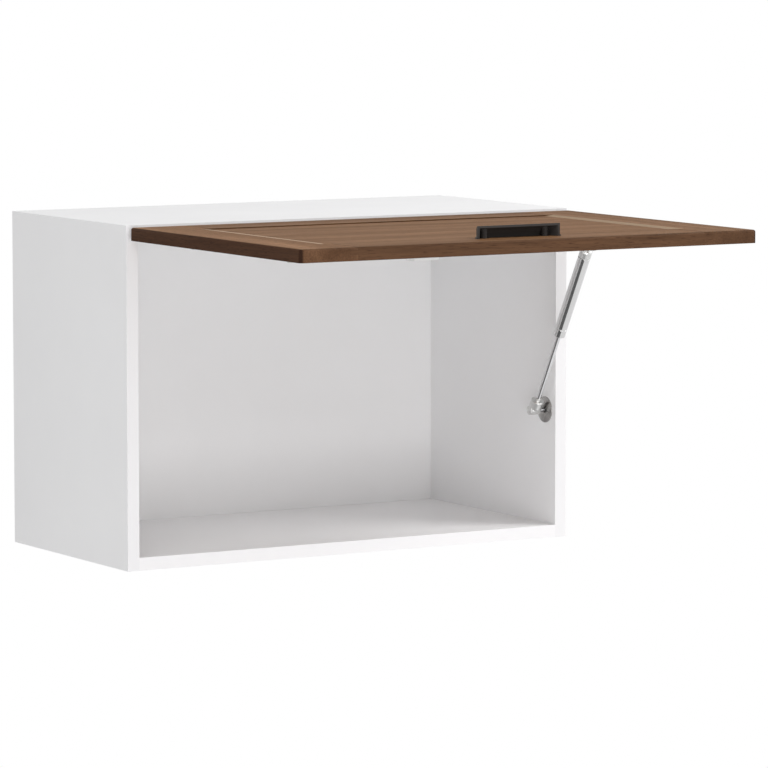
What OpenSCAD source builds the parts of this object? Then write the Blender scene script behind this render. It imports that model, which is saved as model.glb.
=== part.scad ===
// Kitchen wall cabinet with one lift-up door, drawn with the door open level.
// Millimetres, +Z up, +X right, +Y towards the wall.
// The origin is on the wall face, halfway along the cabinet's bottom edge.

/* [Carcass] */
// Outside width of the cabinet
cab_w = 600; // [450:10:900]
// Outside height of the carcass
cab_h = 400; // [370:5:600]
// Depth of the carcass, without the door
cab_d = 295; // [250:5:360]
// Thickness of the coated boards
board_t = 15; // [14.5:0.5:17]
// Thickness of the back board
back_t = 3; // [2.5:0.5:4]
// Width of the rebate that takes the edge of the back board
rebate_w = 8; // [7:0.5:9]
// Gap left round the back board in its rebate
back_gap = 0.5; // [0.3:0.1:1]

/* [Carcass fixings] */
// Distance of the front and rear cam fittings from the front and rear edges
cam_edge = 50; // [40:5:70]
// Distance from a cam to the dowel beside it
dowel_step = 32; // [24:1:40]
// Diameter of a cam
cam_dia = 15; // [12:0.5:16]
// Height of a cam
cam_h = 11.5; // [11:0.1:12]
// Distance of a cam's centre from the side panel's inner face
cam_reach = 24; // [22:1:34]
// Diameter of a wooden dowel
dowel_dia = 8; // [6:1:8]
// Length of a wooden dowel
dowel_len = 30; // [24:1:34]
// Depth of a dowel's hole in the side panel
dowel_side = 10; // [8:0.5:11]
// Thickness of a plastic cap in a cam's hole
cap_t = 0.8; // [0.6:0.1:1.2]
// Nails along each long edge of the back board
nails_long = 4; // [3:1:6]
// Nails along each short edge of the back board
nails_short = 3; // [2:1:4]
// Length of a back board nail
nail_len = 18; // [14:1:22]

/* [Wall hangers] */
// Width of the cover over a corner hanger
hanger_w = 37; // [34:0.5:42]
// Height of the cover over a corner hanger
hanger_h = 62; // [60:1:72]
// Depth of the cover over a corner hanger
hanger_d = 20.5; // [20:0.5:26]
// Drop of the cover below the top panel
hanger_drop = 3; // [2:0.5:6]
// Wall of the plastic cover
cover_t = 1.2; // [1:0.1:1.6]
// Width of the hanging hook
hook_w = 14; // [12:0.5:16]
// Thickness of the hook's steel
hook_t = 2.5; // [2:0.1:3]
// How far the hook stands out of the wall face
hook_out = 8; // [6:0.5:10]

/* [Door] */
// Thickness of the door's frame
door_t = 15; // [14.5:0.5:19]
// Gap between the closed door and the carcass
door_gap = 2; // [2:0.1:3]
// Carcass left showing above the closed door
door_top = 2; // [1.5:0.1:3]
// Carcass left showing below the closed door
door_bottom = 3; // [1.5:0.1:5]
// Carcass left showing at each end of the door
door_side = 1.5; // [1:0.1:3]
// Width of the flat part of a stile
stile_w = 60; // [56:1:80]
// Width of the shallow bevel along a stile's inner edge
bevel_w = 12; // [8:0.5:16]
// Depth from the frame's face to the centre panel's face
bevel_drop = 1.2; // [0.8:0.1:2.4]
// Width of a rail
rail_w = 60; // [56:1:80]
// Thickness of the centre panel
panel_t = 9; // [8:0.5:10]
// Thickness of the tongue round the centre panel
tongue_t = 6; // [5:0.5:6.5]
// Length of the tongue round the centre panel, and of a rail's tenon
tongue_l = 10; // [8:0.5:12]
// Width of each side of the fine groove where a stile meets a rail
groove_w = 0.8; // [0.4:0.1:1]
// Radius of the door's four corners
corner_r = 5; // [3:0.5:8]
// Radius of the rounded edge all round the door's outer face
edge_r = 2.5; // [1:0.25:2.75]

/* [Cup pull] */
// Length of the cup pull at its mouth
pull_l = 108; // [90:1:140]
// Height of the cup pull on the door
pull_h = 18; // [16:1:28]
// How far the cup pull stands out from the door
pull_out = 14.5; // [12:0.5:20]
// Wall of the cup pull
pull_wall = 2.5; // [2:0.1:3]
// Slant of the pull's ends, in degrees
pull_slant = 25; // [15:1:30]
// Radius of the pull's two upper corners
pull_corner = 12; // [9:0.5:13]
// Distance from the door's bottom edge up to the pull's mouth
pull_rise = 34; // [20:1:38]
// Distance of a pull screw from the end of the pull's mouth
pull_end = 14; // [13:1:24]
// Diameter of a pull screw
pull_screw = 4; // [3.5:0.5:5]

/* [Hinges] */
// Distance of a hinge from the end of the cabinet
hinge_inset = 100; // [85:1:140]
// Diameter of a hinge cup
cup_dia = 35; // [34:0.5:36]
// Depth of a hinge cup in the door
cup_depth = 11.5; // [11.2:0.1:12]
// Distance from the door's top edge to the rim of a hinge cup
cup_edge = 3; // [3:0.1:3.6]
// Length of a hinge arm behind the cabinet's front edge
arm_len = 60; // [56:1:70]
// Diameter of a hinge pin
pin_dia = 2; // [1.8:0.1:2.2]
// Length of a hinge arm's mounting plate across the arm
plate_w = 50; // [44:1:56]

/* [Gas strut] */
// Distance of the strut's axis from the right side panel
strut_off = 15; // [14:0.5:20]
// Distance of the lower ball behind the cabinet's front edge
ball_back = 23.5; // [20:0.5:28]
// Distance of the lower ball below the cabinet's top
ball_down = 246; // [243:0.5:252]
// Height of the upper ball over the door's inner face
ball_lift = 23.5; // [22:0.5:26]
// Distance of the upper ball from the door's top edge
ball_reach = 86.5; // [82:0.5:88]
// Diameter of a ball
ball_dia = 8; // [7:0.5:8]
// Diameter of the strut's tube
tube_dia = 15; // [13:0.5:15]
// Wall of the strut's tube
tube_wall = 1; // [0.8:0.1:1.2]
// Diameter of the strut's rod
rod_dia = 6; // [5:0.5:7]
// Distance from the upper ball to the end of the tube
tube_head = 13.5; // [13:0.5:15]
// Length of the strut's tube
tube_len = 113; // [112:0.5:118]
// Length of the rod's guide inside the tube
guide_l = 10.5; // [10:0.5:14]
// Length of the piston
piston_l = 8; // [6:0.5:9]
// Diameter of the domed cap over the strut's side plate
disc_dia = 32; // [31:0.5:36]
// Height of the domed cap
dome_h = 4.5; // [4.3:0.1:5]
// Thickness of the strut's side plate, under the cap
disc_t = 1; // [0.8:0.1:1.2]
// Width of the strut's bracket on the door
bracket_w = 33; // [31:1:38]
// Length of the strut's bracket along the door
bracket_l = 30; // [28:0.5:32]
// Thickness of the bracket's steel
bracket_t = 2; // [1.6:0.1:2.4]

/* [Hidden] */
$fn = 48;

// Small clearances
// Gap between a loose piece and its hole, on each side
fit = 0.1;
// Gap between a pin and its bore, on each side
run = 0.05;
// Gap between pieces that move past each other
clear = 0.3;
eps = 0.01;

// Planes of the carcass
inner_x = cab_w / 2 - board_t;
front = -cab_d;
under_top = cab_h - board_t;
over_base = board_t;
rebate_d = back_t;

// Closed door
door_x = cab_w / 2 - door_side;
door_in = front - door_gap;
door_out = door_in - door_t;
door_hi = cab_h - door_top;
door_lo = door_bottom;
stile_full = stile_w + bevel_w;
stile_in = door_x - stile_full;
panel_out = door_out + bevel_drop;
tongue_out = panel_out + (panel_t - tongue_t) / 2;

// Axis that the door turns about: inside the door's thickness, near its top edge
axis_in = 9.5;
axis_down = 5.5;
axis_y = door_in - axis_in;
axis_z = door_hi - axis_down;
open_angle = 90;

// Hinge links: each cup pivot, from the door's axis, and the reach of its arm pivot
outer_cup = [8, -4];
outer_reach = 21;
inner_cup = [8, -7];
inner_reach = 20;
link_eye = 1.9;
link_bar = 1.5;
link_t = 1.2;
inner_half = 1.8;
outer_low = 2.4;
ear_low = 4.6;
ear_t = 1;
cheek_t = 1.2;
hinge_x = cab_w / 2 - hinge_inset;
cup_z = door_hi - cup_edge - cup_dia / 2;

// Strut, from the lower ball
strut_x = inner_x - strut_off;
low_ball = [front + ball_back, cab_h - ball_down];
high_ball = opened([door_in + ball_lift, door_hi - ball_reach]);
strut_vec = high_ball - low_ball;
strut_len = norm(strut_vec);
strut_lean = atan2(-strut_vec[0], strut_vec[1]);
tube_hi = strut_len - tube_head;
tube_lo = tube_hi - tube_len;
socket_top = 18;
crimp_l = 3;

// Screw sizes: diameter, length, head diameter, head height
wood_screw = [3.5, 13, 7, 2];
small_screw = [3, 10, 5.6, 1.8];

// A point of the door, as [y, z], carried from the closed door to the open one
function opened(p) = [axis_y + (p[1] - axis_z), axis_z - (p[0] - axis_y)];

// An arm pivot, as [y, z], on the line that halves the turn of its cup pivot
function arm_pivot(c, reach) =
    let (d = [c[0] + c[1], c[1] - c[0]])
    [axis_y, axis_z] + reach * d / norm(d);

// A cup pivot at rest, with the door open
function cup_pivot(c) = [axis_y + c[1], axis_z - c[0]];

outer_arm = arm_pivot(outer_cup, outer_reach);
inner_arm = arm_pivot(inner_cup, inner_reach);

// Places what is drawn for the closed door on the open door
module on_door() {
    translate([0, axis_y, axis_z])
        rotate([-open_angle, 0, 0])
            translate([0, -axis_y, -axis_z])
                children();
}

neck_r = 2.5;
neck_end = 7.2;
neck_gap = 0.5;

// Local frame of the strut: lower ball at the origin, +Z along the strut
module along_strut(at = 0) {
    translate([strut_x, low_ball[0], low_ball[1]])
        rotate([strut_lean, 0, 0])
            translate([0, 0, at])
                children();
}

// Both ends of the cabinet, or both hinges
module both(x) {
    for (s = [-1, 1])
        translate([s * x, 0, 0])
            children();
}

// A rod along X, centred on x = 0
module x_rod(r, l) {
    rotate([0, 90, 0])
        cylinder(r = r, h = l, center = true);
}

// A box from its low corner to its high corner
module box(lo, hi) {
    translate(lo)
        cube(hi - lo);
}

// Screw standing on z = 0, its shank down -Z, with a cross in its head
module screw(s) {
    difference() {
        union() {
            cylinder(d = s[2], h = s[3]);
            translate([0, 0, -s[1]])
                cylinder(d = s[0], h = s[1] + eps);
        }
        for (a = [0, 90])
            rotate([0, 0, a])
                translate([-s[2] * 0.3, -0.4, s[3] - 1])
                    cube([s[2] * 0.6, 0.8, 1 + eps]);
    }
}

// Hole for a screw's shank
module screw_hole(s, extra = 0.5) {
    translate([0, 0, -s[1] - extra])
        cylinder(d = s[0] + 2 * fit, h = s[1] + extra + 5);
}

// Round-cornered plate in X and Y with true corner cylinders
module round_plate(w, l, t, r) {
    translate([-w / 2 + r, -l / 2, 0])
        cube([w - 2 * r, l, t]);
    translate([-w / 2, -l / 2 + r, 0])
        cube([w, l - 2 * r, t]);
    for (x = [-1, 1], y = [-1, 1])
        translate([x * (w / 2 - r), y * (l / 2 - r), 0])
            cylinder(r = r, h = t);
}

// Carcass joints: cams and dowels

cam_ys = [front + cam_edge, -cam_edge];
dowel_ys = [front + cam_edge + dowel_step, -cam_edge - dowel_step];
bolt_neck = 4;
bolt_head = 7;
bolt_thread = 10;
bolt_collar = 7.5;

// Runs its children at each of the four corner joints of one kind, x outwards and z towards
// the board's hidden face
module at_joints(ys) {
    for (s = [-1, 1], y = ys) {
        translate([s * inner_x, y, cab_h - board_t / 2])
            scale([s, 1, 1])
                mirror([0, 0, 1])
                    children();
        translate([s * inner_x, y, board_t / 2])
            scale([s, 1, 1])
                mirror([0, 0, 1])
                    children();
    }
}

// Holes that the dowels and cam bolts need in a side panel
module side_joint_holes() {
    at_joints(dowel_ys)
        rotate([0, 90, 0])
            translate([0, 0, -eps])
                cylinder(d = dowel_dia + 2 * fit, h = dowel_side + fit + eps);
    at_joints(cam_ys)
        rotate([0, 90, 0])
            translate([0, 0, -eps])
                cylinder(d = bolt_thread_d + 2 * fit, h = bolt_thread + fit + eps);
}
bolt_thread_d = 5;

// Holes that the dowels, cam bolts and cams need in the top or bottom panel
module end_joint_holes() {
    at_joints(dowel_ys)
        rotate([0, -90, 0])
            translate([0, 0, -eps])
                cylinder(d = dowel_dia + 2 * fit, h = dowel_len - dowel_side + fit + eps);
    at_joints(cam_ys) {
        rotate([0, -90, 0])
            translate([0, 0, -eps])
                cylinder(d = bolt_collar + 2 * fit, h = cam_reach + eps);
        translate([-cam_reach, 0, board_t / 2 - cam_h - fit])
            cylinder(d = cam_dia + 2 * fit, h = cam_h + fit + eps);
    }
}

module cam_bolts() {
    color("silver")
        at_joints(cam_ys) {
            rotate([0, 90, 0])
                cylinder(d = bolt_thread_d, h = bolt_thread);
            rotate([0, -90, 0])
                cylinder(d = bolt_collar, h = 3);
            rotate([0, -90, 0])
                cylinder(d = bolt_neck, h = cam_reach - 1);
            translate([-cam_reach, 0, 0])
                rotate([0, 90, 0])
                    cylinder(d = bolt_head, h = 3, center = true);
        }
}

module cams() {
    color("gray")
        at_joints(cam_ys)
            translate([-cam_reach, 0, board_t / 2 - cam_h])
                difference() {
                    cylinder(d = cam_dia, h = cam_h - cap_t);
                    translate([-2.2, -bolt_head / 2 - fit, cam_h - board_t / 2 - bolt_head / 2 - fit])
                        cube([cam_dia, bolt_head + 2 * fit, bolt_head + 2 * fit]);
                    for (a = [45, 135])
                        rotate([0, 0, a])
                            translate([-3.5, -0.6, cam_h - cap_t - 0.8])
                                cube([7, 1.2, 1]);
                }
}

module cam_caps() {
    color("white")
        at_joints(cam_ys)
            translate([-cam_reach, 0, board_t / 2 - cap_t])
                cylinder(d = cam_dia, h = cap_t);
}

module dowels() {
    color("burlywood")
        at_joints(dowel_ys)
            translate([dowel_side, 0, 0])
                rotate([0, -90, 0])
                    cylinder(d = dowel_dia, h = dowel_len);
}

// Carcass boards

nail_x = inner_x + rebate_w / 2;
nail_top = under_top + rebate_w / 2;
nail_low = over_base - rebate_w / 2;
nail_corner = 30;
nail_shank = 1.6;
nail_head = 3.2;

// Where the nails of the back board go, as [x, z]
nail_points = concat(
    [for (i = [0 : nails_long - 1], z = [nail_low, nail_top])
        [-nail_x + nail_corner + i * (2 * (nail_x - nail_corner)) / (nails_long - 1), z]],
    [for (i = [0 : nails_short - 1], x = [-nail_x, nail_x])
        [x, nail_low + nail_corner + i * (nail_top - nail_low - 2 * nail_corner) / (nails_short - 1)]]);

module at_nails() {
    for (p = nail_points)
        translate([p[0], 0, p[1]])
            rotate([-90, 0, 0])
                children();
}

module nail_holes() {
    at_nails()
        translate([0, 0, -nail_len - fit])
            cylinder(d = nail_shank + 2 * fit, h = nail_len + 2 * fit);
}

module back_nails() {
    color("silver")
        at_nails() {
            translate([0, 0, -nail_len])
                cylinder(d = nail_shank, h = nail_len - 0.9);
            translate([0, 0, -1])
                cylinder(d1 = nail_shank, d2 = nail_head, h = 1);
        }
}

// The rebate all round the rear, which takes the back board
module rebate() {
    box([-inner_x - rebate_w, -rebate_d, over_base - rebate_w],
        [inner_x + rebate_w, 1, under_top + rebate_w]);
}

// Side panel on the +X end
module side_board() {
    difference() {
        box([inner_x, front, 0], [cab_w / 2, 0, cab_h]);
        rebate();
        nail_holes();
        side_joint_holes();
        hanger_side_holes();
    }
}

module side_panel_left() {
    color("white")
        mirror([1, 0, 0])
            side_board();
}

module side_panel_right() {
    color("white")
        difference() {
            side_board();
            at_disc_screws()
                screw_hole(small_screw);
        }
}

module top_panel() {
    color("white")
        difference() {
            box([-inner_x, front, under_top], [inner_x, 0, cab_h]);
            rebate();
            nail_holes();
            end_joint_holes();
            at_plate_screws()
                screw_hole(wood_screw, 0.2);
        }
}

module bottom_panel() {
    color("white")
        difference() {
            box([-inner_x, front, 0], [inner_x, 0, over_base]);
            rebate();
            nail_holes();
            end_joint_holes();
        }
}

module back_panel() {
    reach = rebate_w - back_gap;
    color("white")
        difference() {
            box([-inner_x - reach, -back_t, over_base - reach],
                [inner_x + reach, 0, under_top + reach]);
            at_nails() {
                translate([0, 0, -back_t - 1])
                    cylinder(d = nail_shank + 2 * fit, h = back_t + 2);
                translate([0, 0, -1 - fit])
                    cylinder(d1 = nail_shank + 2 * fit, d2 = nail_head + 2 * fit, h = 1 + fit + eps);
            }
            both(hook_x)
                box([-hook_w / 2 - slot_gap, -back_t - 1, hook_z - slot_gap],
                    [hook_w / 2 + slot_gap, 1, hook_z + hook_rise + slot_gap]);
        }
}

// Corner hangers, at the top rear of each side panel

hanger_top = under_top - hanger_drop;
hanger_low = hanger_top - hanger_h;
hook_x = inner_x - hanger_w / 2;
hook_rise = 16;
hook_z = hanger_top - 30;
slot_gap = 2;
body_top_gap = 2;
adjuster_dia = 6;
peg_dia = 10;
peg_len = 11;
peg_end = inner_x + peg_len;
hollow_low = 8;
hollow_high = 6.5;
body_wall = 3;
leg_end = 9;

// Hanger screws, driven sideways into the side panel
hanger_screw_zs = [hanger_low + 14, hanger_top - 10];

module hanger_side_holes() {
    for (z = hanger_screw_zs)
        translate([inner_x - eps, -back_t - hanger_d / 2, z])
            rotate([0, 90, 0])
                cylinder(d = peg_dia + 2 * fit, h = peg_len + fit + eps);
}

// Body of the +X hanger, with its two pegs in the side panel
module hanger_body() {
    w = hanger_w - cover_t - fit;
    d = hanger_d - cover_t - fit;
    difference() {
        union() {
            box([inner_x - w, -back_t - d, hanger_low + cover_t + fit],
                [inner_x, -back_t, hanger_top - cover_t - fit]);
            for (z = hanger_screw_zs)
                translate([inner_x, -back_t - hanger_d / 2, z])
                    rotate([0, 90, 0])
                        cylinder(d = peg_dia, h = peg_len);
        }
        // Hollow for the hook, open at the rear
        box([hook_x - hook_w / 2 - fit, -back_t - d + body_wall, hanger_low + hollow_low],
            [hook_x + hook_w / 2 + fit, 1, hanger_top - hollow_high]);
        for (z = hanger_adjuster_zs)
            translate([hook_x, -back_t - d - 1, z])
                rotate([-90, 0, 0])
                    cylinder(d = adjuster_dia + 2 * fit, h = 6);
        for (z = hanger_screw_zs)
            translate([inner_x, -back_t - hanger_d / 2, z])
                rotate([0, 90, 0])
                    translate([0, 0, -hanger_w])
                        cylinder(d = wood_screw[0] + 2 * fit, h = hanger_w + peg_len - 0.8);
    }
}

hanger_adjuster_zs = [hanger_low + 16, hanger_top - 22];

module hanger_body_left() {
    color("lightgray")
        mirror([1, 0, 0])
            hanger_body();
}

module hanger_body_right() {
    color("lightgray")
        hanger_body();
}

// Hook of the +X hanger: a back leg in the body, an arm through the board and a lip down
module hanger_hook() {
    d = hanger_d - cover_t - fit;
    y0 = -back_t - d + body_wall;
    box([hook_x - hook_w / 2, y0, hanger_low + leg_end],
        [hook_x + hook_w / 2, y0 + hook_t, hanger_top - leg_end]);
    box([hook_x - hook_w / 2, y0, hook_z + hook_rise - hook_t],
        [hook_x + hook_w / 2, hook_out, hook_z + hook_rise]);
    box([hook_x - hook_w / 2, hook_out - hook_t, hook_z],
        [hook_x + hook_w / 2, hook_out, hook_z + hook_rise]);
}

module hanger_hook_left() {
    color("silver")
        mirror([1, 0, 0])
            hanger_hook();
}

module hanger_hook_right() {
    color("silver")
        hanger_hook();
}

// Cover of the +X hanger: a thin shell, open towards the side panel and the back board
module hanger_cover() {
    d = hanger_d;
    difference() {
        box([inner_x - hanger_w, -back_t - d, hanger_low], [inner_x, -back_t, hanger_top]);
        box([inner_x - hanger_w + cover_t, -back_t - d + cover_t, hanger_low + cover_t],
            [inner_x + 1, 1, hanger_top - cover_t]);
        for (z = hanger_adjuster_zs)
            translate([hook_x, -back_t - d - 1, z])
                rotate([-90, 0, 0])
                    cylinder(d = adjuster_dia + 2, h = 5);
    }
}

module hanger_cover_left() {
    color("white")
        mirror([1, 0, 0])
            hanger_cover();
}

module hanger_cover_right() {
    color("white")
        hanger_cover();
}

// Two adjusting screws in each hanger, their heads towards the front
module hanger_adjusters() {
    d = hanger_d - cover_t - fit;
    color("gray")
        for (s = [-1, 1], z = hanger_adjuster_zs)
            translate([s * hook_x, -back_t - d + body_wall, z])
                rotate([90, 0, 0])
                    difference() {
                        cylinder(d = adjuster_dia, h = body_wall + cover_t);
                        for (a = [0, 90])
                            rotate([0, 0, a])
                                translate([-2, -0.5, body_wall + cover_t - 1.2])
                                    cube([4, 1, 2]);
                    }
}

// Two screws that spread the pegs of each hanger in the side panel
module hanger_screws() {
    color("gray")
        for (s = [-1, 1], z = hanger_screw_zs)
            translate([s * (hook_x + hook_w / 2 + fit), -back_t - hanger_d / 2, z])
                rotate([0, s * 90, 0]) {
                    cylinder(d = wood_screw[0], h = peg_end - hook_x - hook_w / 2 - 1);
                    translate([0, 0, -1.5])
                        cylinder(d = 5.5, h = 1.5);
                }
}

// Door: a frame of two stiles and two rails round a thinner centre panel

// Cuts the door's four corners round
module corner_cuts() {
    for (x = [-1, 1], z = [-1, 1])
        translate([x * (door_x - corner_r), door_out - 1, (door_hi + door_lo) / 2
                + z * ((door_hi - door_lo) / 2 - corner_r)])
            rotate([-90, 0, 0])
                difference() {
                    translate([x > 0 ? 0 : -corner_r - 1, z > 0 ? -corner_r - 1 : 0, 0])
                        cube([corner_r + 1, corner_r + 1, door_t + 2]);
                    translate([0, 0, -1])
                        cylinder(r = corner_r, h = door_t + 4);
                }
}

// What a quarter round takes off an edge along X, where the solid lies towards +Y and +Z
module edge_cut(l) {
    difference() {
        translate([-l / 2, -1, -1])
            cube([l, edge_r + 1, edge_r + 1]);
        translate([0, edge_r, edge_r])
            x_rod(edge_r, l + 2);
    }
}

// The same round a corner, whose centre is the origin; +Z goes into the door
module edge_corner_cut() {
    rise = corner_r - edge_r;
    difference() {
        translate([0, 0, -1])
            cube([corner_r + 1, corner_r + 1, edge_r + 1]);
        translate([0, 0, -2])
            cylinder(r = rise, h = edge_r + 4);
        translate([0, 0, edge_r])
            rotate_extrude()
                intersection() {
                    translate([rise, 0])
                        circle(r = edge_r);
                    translate([rise, -edge_r])
                        square([edge_r + 1, 2 * edge_r]);
                }
    }
}

// Rounds the edge all round the door's outer face
module face_rounding() {
    mid = (door_hi + door_lo) / 2;
    high = (door_hi - door_lo) / 2;
    for (m = [0, 1], n = [0, 1])
        mirror([m, 0, 0])
            translate([0, door_out, mid])
                mirror([0, 0, n]) {
                    translate([door_x - corner_r, 0, corner_r - high])
                        rotate([-90, 0, 0])
                            edge_corner_cut();
                }
    for (m = [0, 1])
        mirror([m, 0, 0])
            translate([door_x, door_out, mid])
                rotate([0, -90, 0])
                    edge_cut(2 * (high - corner_r));
    for (n = [0, 1])
        translate([0, door_out, mid])
            mirror([0, 0, n])
                translate([0, 0, -high])
                    edge_cut(2 * (door_x - corner_r));
}

// Fine groove on the door's face where a stile meets the rails
module joint_groove() {
    translate([stile_in, door_out, door_lo - 1])
        rotate([0, 0, 45])
            translate([-groove_w / 2, -groove_w / 2, 0])
                cube([groove_w, groove_w, door_hi - door_lo + 2]);
}

// Stile on the +X end: flat, then a shallow bevel, and a groove for the tongues
module stile() {
    difference() {
        box([stile_in, door_out, door_lo], [door_x, door_in, door_hi]);
        // Bevel along the centre panel, from one rail to the other
        translate([0, 0, door_lo + rail_w])
            linear_extrude(door_hi - door_lo - 2 * rail_w)
                polygon([[stile_in - 1, door_out - 1], [door_x - stile_w, door_out - 1],
                    [door_x - stile_w, door_out], [stile_in, panel_out], [stile_in - 1, panel_out]]);
        joint_groove();
        box([stile_in - 1, tongue_out - fit, door_lo - 1],
            [stile_in + tongue_l + fit, tongue_out + tongue_t + fit, door_hi + 1]);
        corner_cuts();
        face_rounding();
    }
}

module door_stile_left() {
    color("saddlebrown")
        on_door()
            mirror([1, 0, 0])
                stile();
}

module door_stile_right() {
    color("saddlebrown")
        on_door()
            difference() {
                stile();
                at_bracket_screws()
                    screw_hole(small_screw, 0.3);
            }
}

// Rail between the stiles, with a tenon in each stile's groove and a groove for the panel
module rail(lo, hi, groove_lo, groove_hi) {
    difference() {
        union() {
            box([-stile_in, door_out, lo], [stile_in, door_in, hi]);
            box([-stile_in - tongue_l, tongue_out, lo], [stile_in + tongue_l, tongue_out + tongue_t, hi]);
        }
        box([-door_x, tongue_out - fit, groove_lo], [door_x, tongue_out + tongue_t + fit, groove_hi]);
        joint_groove();
        mirror([1, 0, 0])
            joint_groove();
        face_rounding();
    }
}

module door_rail_top() {
    lo = door_hi - rail_w;
    color("saddlebrown")
        on_door()
            difference() {
                rail(lo, door_hi, lo - 1, lo + tongue_l + fit);
                both(hinge_x) {
                    translate([0, door_in - cup_depth - 2 * fit, cup_z])
                        rotate([-90, 0, 0])
                            cylinder(d = cup_dia + 2 * fit, h = cup_depth + 1);
                }
                at_cup_screws()
                    screw_hole(small_screw, 0.3);
            }
}

module door_rail_bottom() {
    hi = door_lo + rail_w;
    color("saddlebrown")
        on_door()
            difference() {
                rail(door_lo, hi, hi - tongue_l - fit, hi + 1);
                at_pull_screws()
                    translate([0, 0, -1])
                        cylinder(d = pull_screw + 2 * fit, h = door_t + 2);
            }
}

module door_panel() {
    lo = door_lo + rail_w;
    hi = door_hi - rail_w;
    color("sienna")
        on_door() {
            box([-stile_in + fit, panel_out, lo + fit], [stile_in - fit, panel_out + panel_t, hi - fit]);
            box([-stile_in - tongue_l + fit, tongue_out, lo - tongue_l + fit],
                [stile_in + tongue_l - fit, tongue_out + tongue_t, hi + tongue_l - fit]);
        }
}

// Cup pull on the bottom rail, its mouth down, towards the door's free edge

pull_z = door_lo + pull_rise;
boss_dia = 7.5;
boss_up = 10;
foot_w = 1.2;
foot_h = 1.5;
bore_cover = 2;
pull_head = 7.5;
pull_head_h = 1.6;

// The roof is part of a cylinder along X, whose axis lies a little inside the door's face
roof_sink = (pow(pull_h, 2) - pow(pull_out, 2)) / (2 * pull_out);
roof_r = pull_out + roof_sink;
bore_h = sqrt(pow(roof_r, 2) - pow(boss_up + pull_screw / 2, 2)) - roof_sink - bore_cover;

// Centre of an upper corner, from the middle of the mouth
corner_z = pull_h - pull_corner;
corner_x = pull_l / 2 - (pull_corner + corner_z * sin(pull_slant)) / cos(pull_slant);

// Half width of the pull's outline at height z over the mouth, its corners of radius r
function pull_half(r, z) = corner_x + (r + (corner_z - z) * sin(pull_slant)) / cos(pull_slant);

// Solid with the pull's outline, from height lo over the mouth, between the planes y0 and y1
module pull_block(r, lo, y0, y1) {
    translate([0, y1, pull_z])
        rotate([90, 0, 0])
            intersection() {
                union() {
                    linear_extrude(y1 - y0)
                        polygon([[-pull_half(r, lo), lo], [pull_half(r, lo), lo],
                            [corner_x + r * cos(pull_slant), corner_z + r * sin(pull_slant)],
                            [corner_x, corner_z + r], [-corner_x, corner_z + r],
                            [-corner_x - r * cos(pull_slant), corner_z + r * sin(pull_slant)]]);
                    for (s = [-1, 1])
                        translate([s * corner_x, corner_z, 0])
                            cylinder(r = r, h = y1 - y0);
                }
                translate([-pull_l, lo, -1])
                    cube([2 * pull_l, 2 * pull_h, y1 - y0 + 2]);
            }
}

// Rounding of the pull's roof, from the mouth down to the door at the back
module pull_roof(r) {
    translate([0, door_out + roof_sink, pull_z])
        x_rod(r, 2 * pull_l);
}

// The two screws, from the door's inner face to its outer face along -Y
module at_pull_screws() {
    for (s = [-1, 1])
        translate([s * (pull_l / 2 - pull_end), door_in, pull_z + boss_up])
            rotate([90, 0, 0])
                children();
}

module cup_pull() {
    y0 = door_out - pull_out - 1;
    color([0.1, 0.1, 0.1])
        on_door()
            difference() {
                union() {
                    intersection() {
                        pull_block(pull_corner, 0, y0, door_out);
                        pull_roof(roof_r);
                    }
                    // Thin foot round the walls, where they meet the door
                    pull_block(pull_corner + foot_w, 0, door_out - foot_h, door_out);
                }
                difference() {
                    intersection() {
                        pull_block(pull_corner - pull_wall, -1, y0, door_out + 1);
                        pull_roof(roof_r - pull_wall);
                    }
                    at_pull_screws()
                        cylinder(d = boss_dia, h = door_t + pull_out);
                }
                at_pull_screws()
                    translate([0, 0, door_t - 1])
                        cylinder(d = pull_screw + 2 * fit, h = 1 + bore_h);
            }
}

module pull_screws() {
    color("silver")
        on_door()
            at_pull_screws() {
                cylinder(d = pull_screw, h = door_t + bore_h - 0.5);
                translate([0, 0, -pull_head_h])
                    difference() {
                        cylinder(d = pull_head, h = pull_head_h);
                        for (a = [0, 90])
                            rotate([0, 0, a])
                                translate([-2, -0.4, -1])
                                    cube([4, 0.8, 1.8]);
                    }
            }
}

bumper_up = 32;
bumper_dia = 8;
bumper_tip = 6;

// Soft buffers on the door's inner face, which meet the carcass's front edges
module door_bumpers() {
    color("gainsboro")
        on_door()
            for (s = [-1, 1])
                translate([s * (inner_x + board_t / 2), door_in, door_lo + bumper_up])
                    rotate([-90, 0, 0]) {
                        cylinder(d = bumper_dia, h = 1);
                        translate([0, 0, 1])
                            cylinder(d1 = bumper_dia, d2 = bumper_tip, h = door_gap - 1 - clear);
                    }
}

// Hinges: a cup in the door, two links, and an arm on a plate under the top panel

cup_wall = 0.7;
cup_floor = 0.8;
flange_t = 0.8;
flange_dia = cup_dia + 3;
ear_pitch = 48;
ear_drop = 9.5;
ear_over = 11;
ear_width = 12;
ear_corner = 5;
plate_t = 2;
boss_t = 2;
arm_top = under_top - plate_t - boss_t;
plate_back = 37;
plate_screw_x = 16;
plate_l = 18;
plate_corner = 4;
spine_half = 9;
spine_front = 16;
boss_front = 20;
arm_short = 2;

module at_cup_screws() {
    both(hinge_x)
        for (s = [-1, 1])
            translate([s * ear_pitch / 2, door_in + flange_t, cup_z - ear_drop])
                rotate([-90, 0, 0])
                    children();
}

module at_plate_screws() {
    both(hinge_x)
        for (s = [-1, 1])
            translate([s * plate_screw_x, front + plate_back, under_top - plate_t])
                mirror([0, 0, 1])
                    children();
}

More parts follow.
